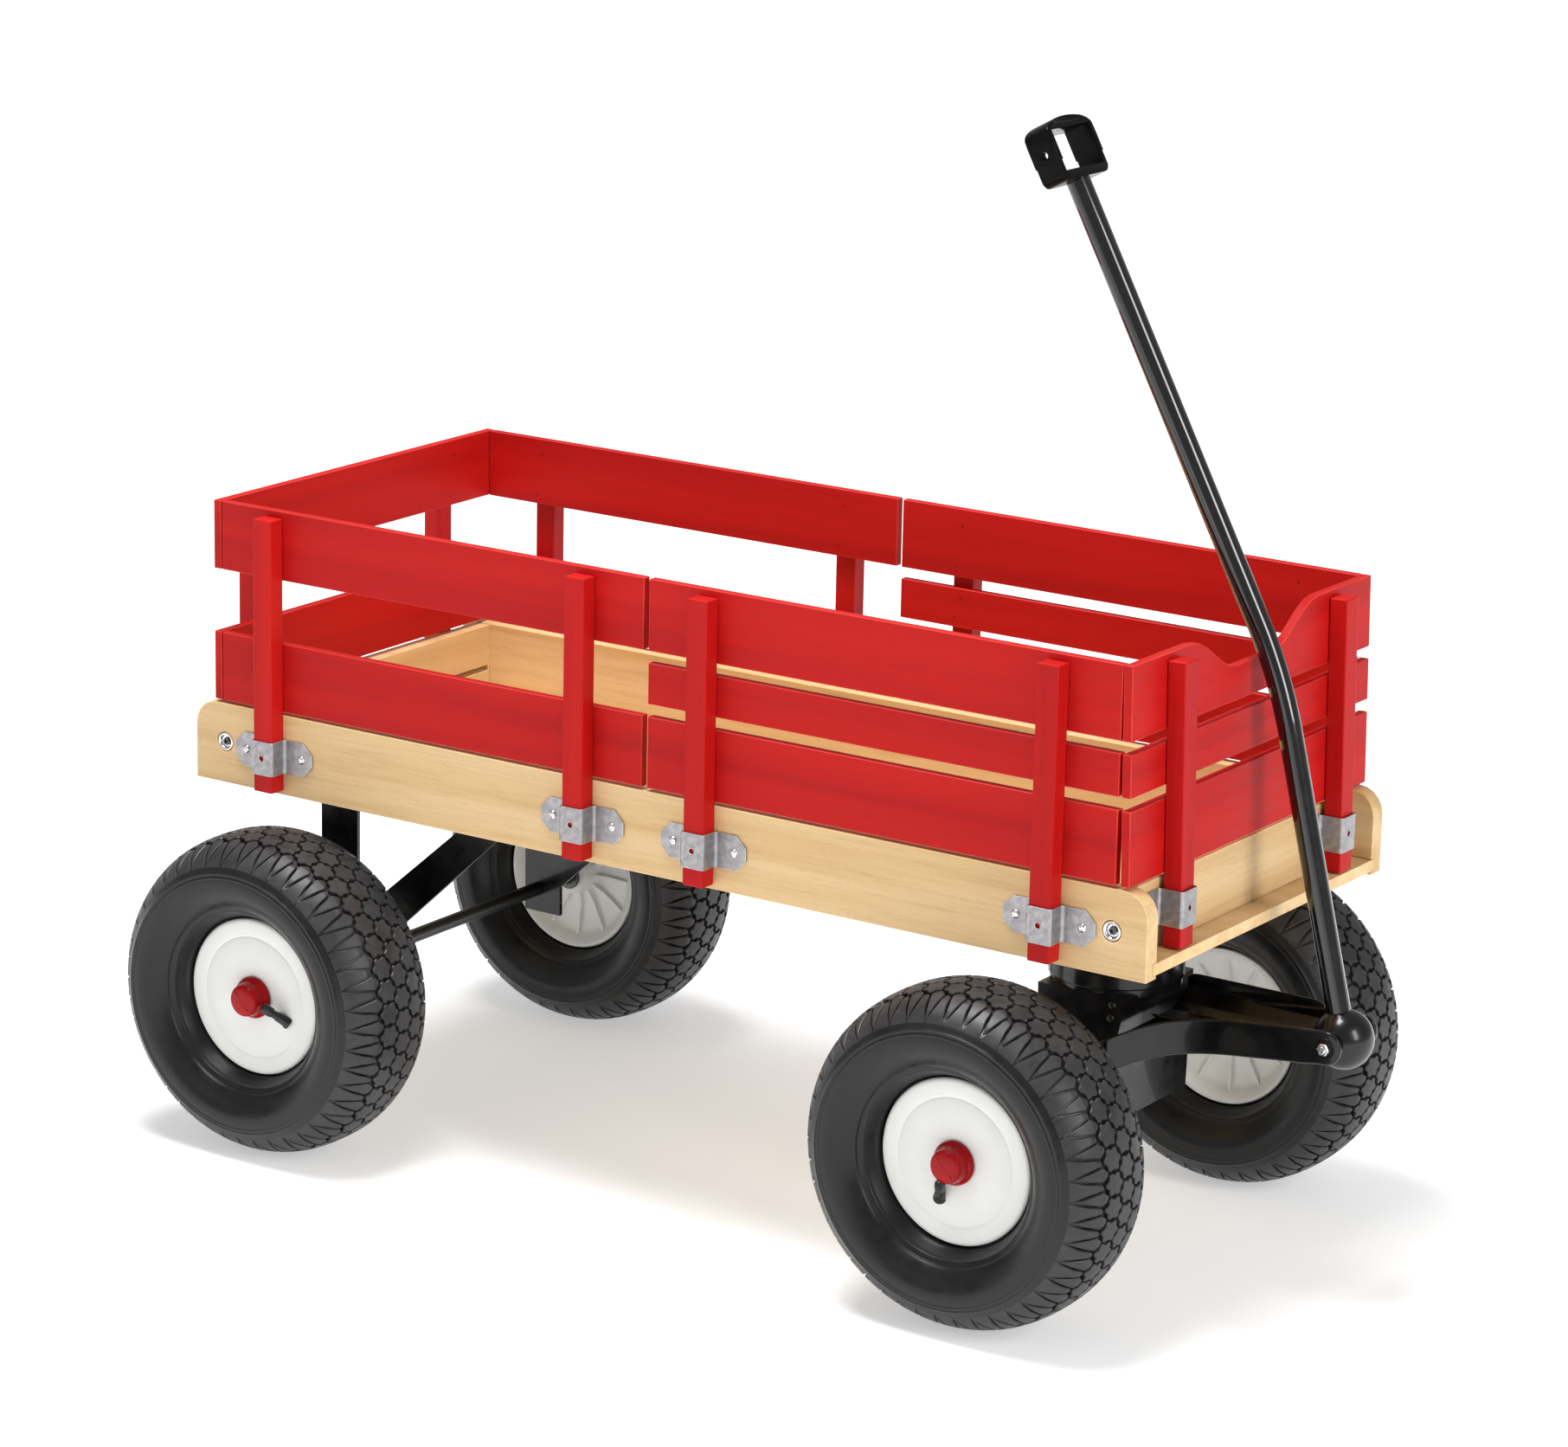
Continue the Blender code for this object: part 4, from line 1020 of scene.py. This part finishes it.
def makeTongueChannel():
    # pressed trough between the arms: an upright far wall, a slope and a low near lip
    corners = [(0.0302, 0.2285), (0.0302, 0.2170), (0.0150, 0.2080), (0.0040, 0.2045)]
    corners += [(-0.0190, 0.2045), (-0.0262, 0.2085)]
    line = roundedLine(corners, (0.0022, 0.0040, 0.0050, 0.0030))
    half = tongue["sheet"] / 2
    start, length = tongue["channelStart"], tongue["channelEnd"] - tongue["channelStart"]
    rows = []
    for index in range(29):
        share = index / 28
        endDrop = max(0.0, 1 - min(share, 1 - share) * 16)
        row = []
        for face in (1, -1):
            points = line if face > 0 else line[::-1]
            for number, point in enumerate(points):
                before, after = points[max(0, number - 1)], points[min(len(points) - 1, number + 1)]
                along = (after - before).normalized() * face
                spot = point + Vector((-along.y, along.x)) * half * face
                drop = 0.0032 * endDrop * endDrop if spot.y > 0.222 else 0.0
                row.append((middleX + start + length * share, spot.x, spot.y - drop))
        rows.append(row)
    shape = loftShape(rows)
    roundEdges(shape, 0.0005, 2, 60)
    mesh = toMesh(shape, [enamel], sharpAngle=50)
    toPiece("tongue_channel", mesh, "steering")


def makeTongueFloor():
    low, high = tongue["floorLow"], tongue["floorHigh"]
    start, length = tongue["floorStart"], tongue["floorEnd"] - tongue["floorStart"]
    rows = []
    for step in range(15):
        x = start + length * step / 14
        reach = armInner(x) + 0.001
        section = ((-reach, low), (reach, low), (reach, high), (-reach, high))
        rows.append([(middleX + x, y, z) for y, z in section])
    mesh = toMesh(loftShape(rows), [enamel], sharpAngle=30)
    toPiece("tongue_floor", mesh, "steering")


def makeUndercarriage():
    slotName, finishes = "black_enamelled_steel", [enamel, enamel]
    softened("rear_axle_bracket", finishes, steelWork["bracketRounding"], 3)
    softened("front_bolster", finishes, steelWork["bolsterRounding"], 3, sharpest=40)
    softened("steering_fork", finishes, steelWork["forkRounding"], 3, sharpest=20)
    makeTongueArm(-1)
    makeTongueArm(1)
    makeTongueChannel()
    makeTongueFloor()
    for axle in ("rear_axle", "front_axle"):
        softened(axle, [darkSteel, darkSteel], steelWork["axleRounding"], 2, sharpest=40)


# rivets through the fork's cheeks, which splay out downwards
rivet = {
    "x": 0.3535, "heights": (0.2185, 0.2085), "reach": 0.052, "splay": 0.020,
    "cheekTop": 0.2242, "cheekFoot": 0.118,
}


def makeForkRivets():
    dome = [(0.0, 0.0016), (0.0016, 0.0014), (0.0028, 0.0008), (0.0033, 0.0), (0.0033, -0.002), (0.0, -0.002)]
    rivetMesh = toMesh(turned(dome, 20), [enamel], sharpAngle=60)
    for side, facing in sides.items():
        for number, z in enumerate(rivet["heights"], start=1):
            share = (rivet["cheekTop"] - z) / (rivet["cheekTop"] - rivet["cheekFoot"])
            reach = rivet["reach"] + share * rivet["splay"]
            where = facingPlace((middleX + rivet["x"], facing * reach, z), 0 if facing > 0 else math.pi)
            name = f"fork_rivet_{side}_{number}"
            toPiece(name, rivetMesh, "steering", where=where)


makeUndercarriage()
makeForkRivets()
print("undercarriage made")


# the pull handle; pivot, bend and top are (distance from the middle of the tray, height)
handle = {
    "pivot": (0.5275, 0.213), "bend": (0.4588, 0.4872), "top": (0.2650, 0.8450), "bendReach": 0.045,
    "tubeRadius": 0.0095, "tubeSides": 40, "ballRadius": 0.0238, "ballHalf": 0.0225,
}


def handlePath():
    corners = (handle["pivot"], handle["bend"], handle["top"])
    foot, bend, top = [Vector((middleX + x, 0, z)) for x, z in corners]
    lower, upper = (bend - foot).normalized(), (top - bend).normalized()
    start, end = bend - lower * handle["bendReach"], bend + upper * handle["bendReach"]
    points = [foot + lower * 0.012, foot + lower * 0.14]
    for step in range(25):
        share = step / 24
        points.append(start * (1 - share) ** 2 + bend * 2 * share * (1 - share) + end * share ** 2)
    points += [end.lerp(top, 0.5), top]
    return points


def makeHandleTube():
    points = handlePath()
    rows = []
    for index, point in enumerate(points):
        along = (points[min(index + 1, len(points) - 1)] - points[max(index - 1, 0)]).normalized()
        forward = Vector((0, 1, 0)).cross(along)
        row = []
        for step in range(handle["tubeSides"]):
            angle = 2 * math.pi * step / handle["tubeSides"]
            reach = Vector((0, 1, 0)) * math.cos(angle) + forward * math.sin(angle)
            row.append(point + reach * handle["tubeRadius"])
        rows.append(row)
    mesh = toMesh(loftShape(rows), [tubeEnamel], sharpAngle=50)
    toPiece("handle_tube_enamelled", mesh, "handle", ["handle_tube"])


def makeKnuckle():
    # a ball with flat sides, and the bolt, nut and washers that it swings on
    where = Matrix.Translation((middleX + handle["pivot"][0], 0, handle["pivot"][1]))
    radius, half = handle["ballRadius"], handle["ballHalf"]
    profile = [(0.0, -half)]
    for step in range(19):
        angle = math.radians(-68 + 136 * step / 18)
        profile.append((radius * math.cos(angle), min(half, max(-half, radius * math.sin(angle)))))
    profile.append((0.0, half))
    ball = toMesh(turned(profile, 64), [enamel], sharpAngle=50)
    toPiece("handle_knuckle", ball, "handle", where=where)
    rod = [(0.0, -0.0362), (0.0024, -0.0362), (0.0029, -0.0357), (0.0029, -0.0250), (0.0, -0.0250)]
    bolt = toMesh(turned(rod, 24), [screwSteel], sharpAngle=40)
    toPiece("pivot_bolt", bolt, "handle", where=where)
    nutSteps = ((0.96, 0.0310), (1.0, 0.0313), (1.0, 0.0339), (0.90, 0.0345))
    disc = ((0.0044, 0.0306), (0.0080, 0.0306), (0.0082, 0.0309), (0.0080, 0.0314), (0.0044, 0.0314))
    for name, facing in (("pivot_nut", -1), ("pivot_bolt_head", 1)):
        nut = loftShape([ringPoints(0.0052 * scale, 6, "Y", facing * height) for scale, height in nutSteps])
        toPiece(name, toMesh(nut, [screwSteel], smooth=False), "handle", where=where)
        washer = turned([(reach, facing * height) for reach, height in disc], 40, ring=True)
        washerMesh = toMesh(washer, [enamel], sharpAngle=40)
        toPiece(f"{name}_washer", washerMesh, "handle", where=where)


grip = {
    "length": 0.0495, "width": 0.066, "depth": 0.0236, "wall": 0.0060, "foot": 0.0075, "rounding": 0.0018,
    "crown": 0.0095, "crownRise": 0.0125, "shoulder": 0.012, "stepHeight": 0.0165, "stepDepth": 0.0010,
    "holeRadius": 0.0029, "holeHeight": 0.0235,
}


def gripOutline():
    # seen along the wagon: rounded foot, straight cheeks and an arched top
    half, shoulder = grip["width"] / 2, grip["length"] - grip["shoulder"]
    foot = [(half - 0.0072, 0.0), (half - 0.0040, 0.0010), (half - 0.0012, 0.0042), (half, 0.0090)]
    outline = foot + [(half, shoulder - 0.004)]
    for step in range(1, 16):
        angle = math.radians(180 * step / 16)
        rise = grip["crownRise"] * math.sin(angle) ** 0.8
        outline.append((half * math.cos(angle), shoulder - 0.0005 + rise))
    outline.append((-half, shoulder - 0.004))
    return outline + [(-across, height) for across, height in reversed(foot)]


def makeGrip():
    half, depth = grip["width"] / 2, grip["depth"] / 2
    shape = loftShape([[(x, y, z) for y, z in gripOutline()] for x in (-depth, depth)])
    roundEdges(shape, grip["rounding"], 3, 50)
    body = toMesh(shape, [gripPlastic], smooth=False)
    inner, step, cut = half - grip["wall"], grip["stepHeight"], grip["stepDepth"]
    # the opening, then a thin slice off each side of the lower part
    for low, high in (
        ((-0.05, -inner, grip["foot"]), (0.05, inner, grip["length"] - grip["crown"])),
        ((-0.05, half - cut, -0.01), (0.05, 0.05, step)),
        ((-0.05, -0.05, -0.01), (0.05, -half + cut, step)),
        ((depth - cut, -0.05, -0.01), (0.05, 0.05, step)),
        ((-0.05, -0.05, -0.01), (-depth + cut, 0.05, step)),
    ):
        body = cutAway(body, boxMesh(low, high))
    bore = grip["holeRadius"]
    hole = toMesh(turned([(0, -0.06), (bore, -0.06), (bore, 0), (0, 0)], 20), [], smooth=False)
    hole.transform(Matrix.Translation((0.001, 0, grip["holeHeight"])))
    body = cutAway(body, hole)
    # the shallow hollow along the front of the crown
    ball = bmesh.new()
    bmesh.ops.create_uvsphere(ball, u_segments=32, v_segments=16, radius=1)
    hollow = toMesh(ball, [], smooth=False)
    place = Matrix.Translation((depth + 0.0012, 0, grip["length"] - 0.0022))
    hollow.transform(place @ Matrix.Diagonal((0.0034, 0.0250, 0.0046, 1)))
    body = cutAway(body, hollow)
    finished = bmesh.new()
    finished.from_mesh(body)
    roundEdges(finished, 0.0005, 2, 42)
    points = handlePath()
    lean = (points[-1] - points[-2]).normalized()
    tilt = Matrix.Rotation(math.atan2(lean.x, lean.z), 4, "Y")
    where = Matrix.Translation(points[-1] + lean * 0.0003) @ tilt
    mesh = toMesh(finished, [gripPlastic], sharpAngle=40)
    toPiece("handle_grip_moulded", mesh, "handle", ["handle_grip"], where)


makeHandleTube()
makeKnuckle()
makeGrip()
print("pull handle made")


# camera, light and floor
camera = {
    "place": (2.22585, -3.3622, 1.4658), "yaw": 0.5907, "pitch": -0.2633, "roll": 0.0216, "lens": 118.9,
}


def makeCamera():
    yaw, pitch, roll = camera["yaw"], camera["pitch"], camera["roll"]
    ahead = Vector((-math.sin(yaw) * math.cos(pitch), math.cos(yaw) * math.cos(pitch), math.sin(pitch)))
    right = Vector((math.cos(yaw), math.sin(yaw), 0))
    up = right.cross(ahead)
    turnedRight = math.cos(roll) * right + math.sin(roll) * up
    turnedUp = math.cos(roll) * up - math.sin(roll) * right
    view = bpy.data.objects.new("view", bpy.data.cameras.new("view"))
    bpy.context.scene.collection.objects.link(view)
    turn = Matrix((turnedRight, turnedUp, -ahead)).transposed()
    view.matrix_world = Matrix.Translation(camera["place"]) @ turn.to_4x4()
    view.data.lens = camera["lens"]
    view.data.sensor_width = 36
    view.data.clip_end = 100
    bpy.context.scene.camera = view


studio = {
    "worldStrength": 0.36,
    "floorGlow": (0.44, 0.80), "glowReach": (0.7, 2.2), "paper": (0.80, 0.80, 0.80),
    "softboxes": (
        # place, aim, width, height, power
        ((-1.2, -3.3, 2.0), (-0.1, 0, 0.2), 2.4, 1.4, 5),
        ((3.6, -0.7, 1.9), (0, 0, 0.3), 1.0, 2.0, 66),
        ((-0.3, -0.4, 2.7), (-0.1, 0, 0.2), 1.3, 0.9, 80),
        ((0.6, -3.4, 0.5), (0, 0.2, 0.15), 2.2, 0.5, 4),
    ),
}


def glowWithDistance(paper):
    # the paper glows more farther out, so the far floor is white and the shadow keeps its depth
    place = addNode(paper, "ShaderNodeTexCoord")
    reach = addNode(paper, "ShaderNodeVectorMath", operation="LENGTH")
    join(paper, place.outputs["Object"], reach.inputs[0])
    ends = studio["glowReach"] + studio["floorGlow"]
    spreadRange(paper, reach.outputs["Value"], ends, "Emission Strength", "SMOOTHSTEP")


def makeStudio():
    world = bpy.data.worlds.new("studio")
    bpy.context.scene.world = world
    world.use_nodes = True
    world.node_tree.nodes["Background"].inputs["Color"].default_value = (1, 1, 1, 1)
    world.node_tree.nodes["Background"].inputs["Strength"].default_value = studio["worldStrength"]
    for number, (place, aim, width, height, power) in enumerate(studio["softboxes"], start=1):
        light = bpy.data.lights.new(f"softbox_{number}", "AREA")
        light.shape = "RECTANGLE"
        light.size, light.size_y = width, height
        light.energy = power
        lamp = bpy.data.objects.new(f"softbox_{number}", light)
        bpy.context.scene.collection.objects.link(lamp)
        lamp.location = place
        lamp.rotation_euler = (Vector(aim) - Vector(place)).to_track_quat("-Z", "Y").to_euler()
    floorShape = bmesh.new()
    bmesh.ops.create_grid(floorShape, x_segments=2, y_segments=2, size=30)
    paper = newFinish("studio_paper", studio["paper"], 0.9, specular=0.1)
    shaderOf(paper).inputs["Emission Color"].default_value = (1, 1, 1, 1)
    glowWithDistance(paper)
    floor = bpy.data.objects.new("studio_floor", toMesh(floorShape, [paper], smooth=False))
    bpy.context.scene.collection.objects.link(floor)
    bpy.context.scene.view_settings.view_transform = "Standard"


makeCamera()
makeStudio()
print("camera and studio made")
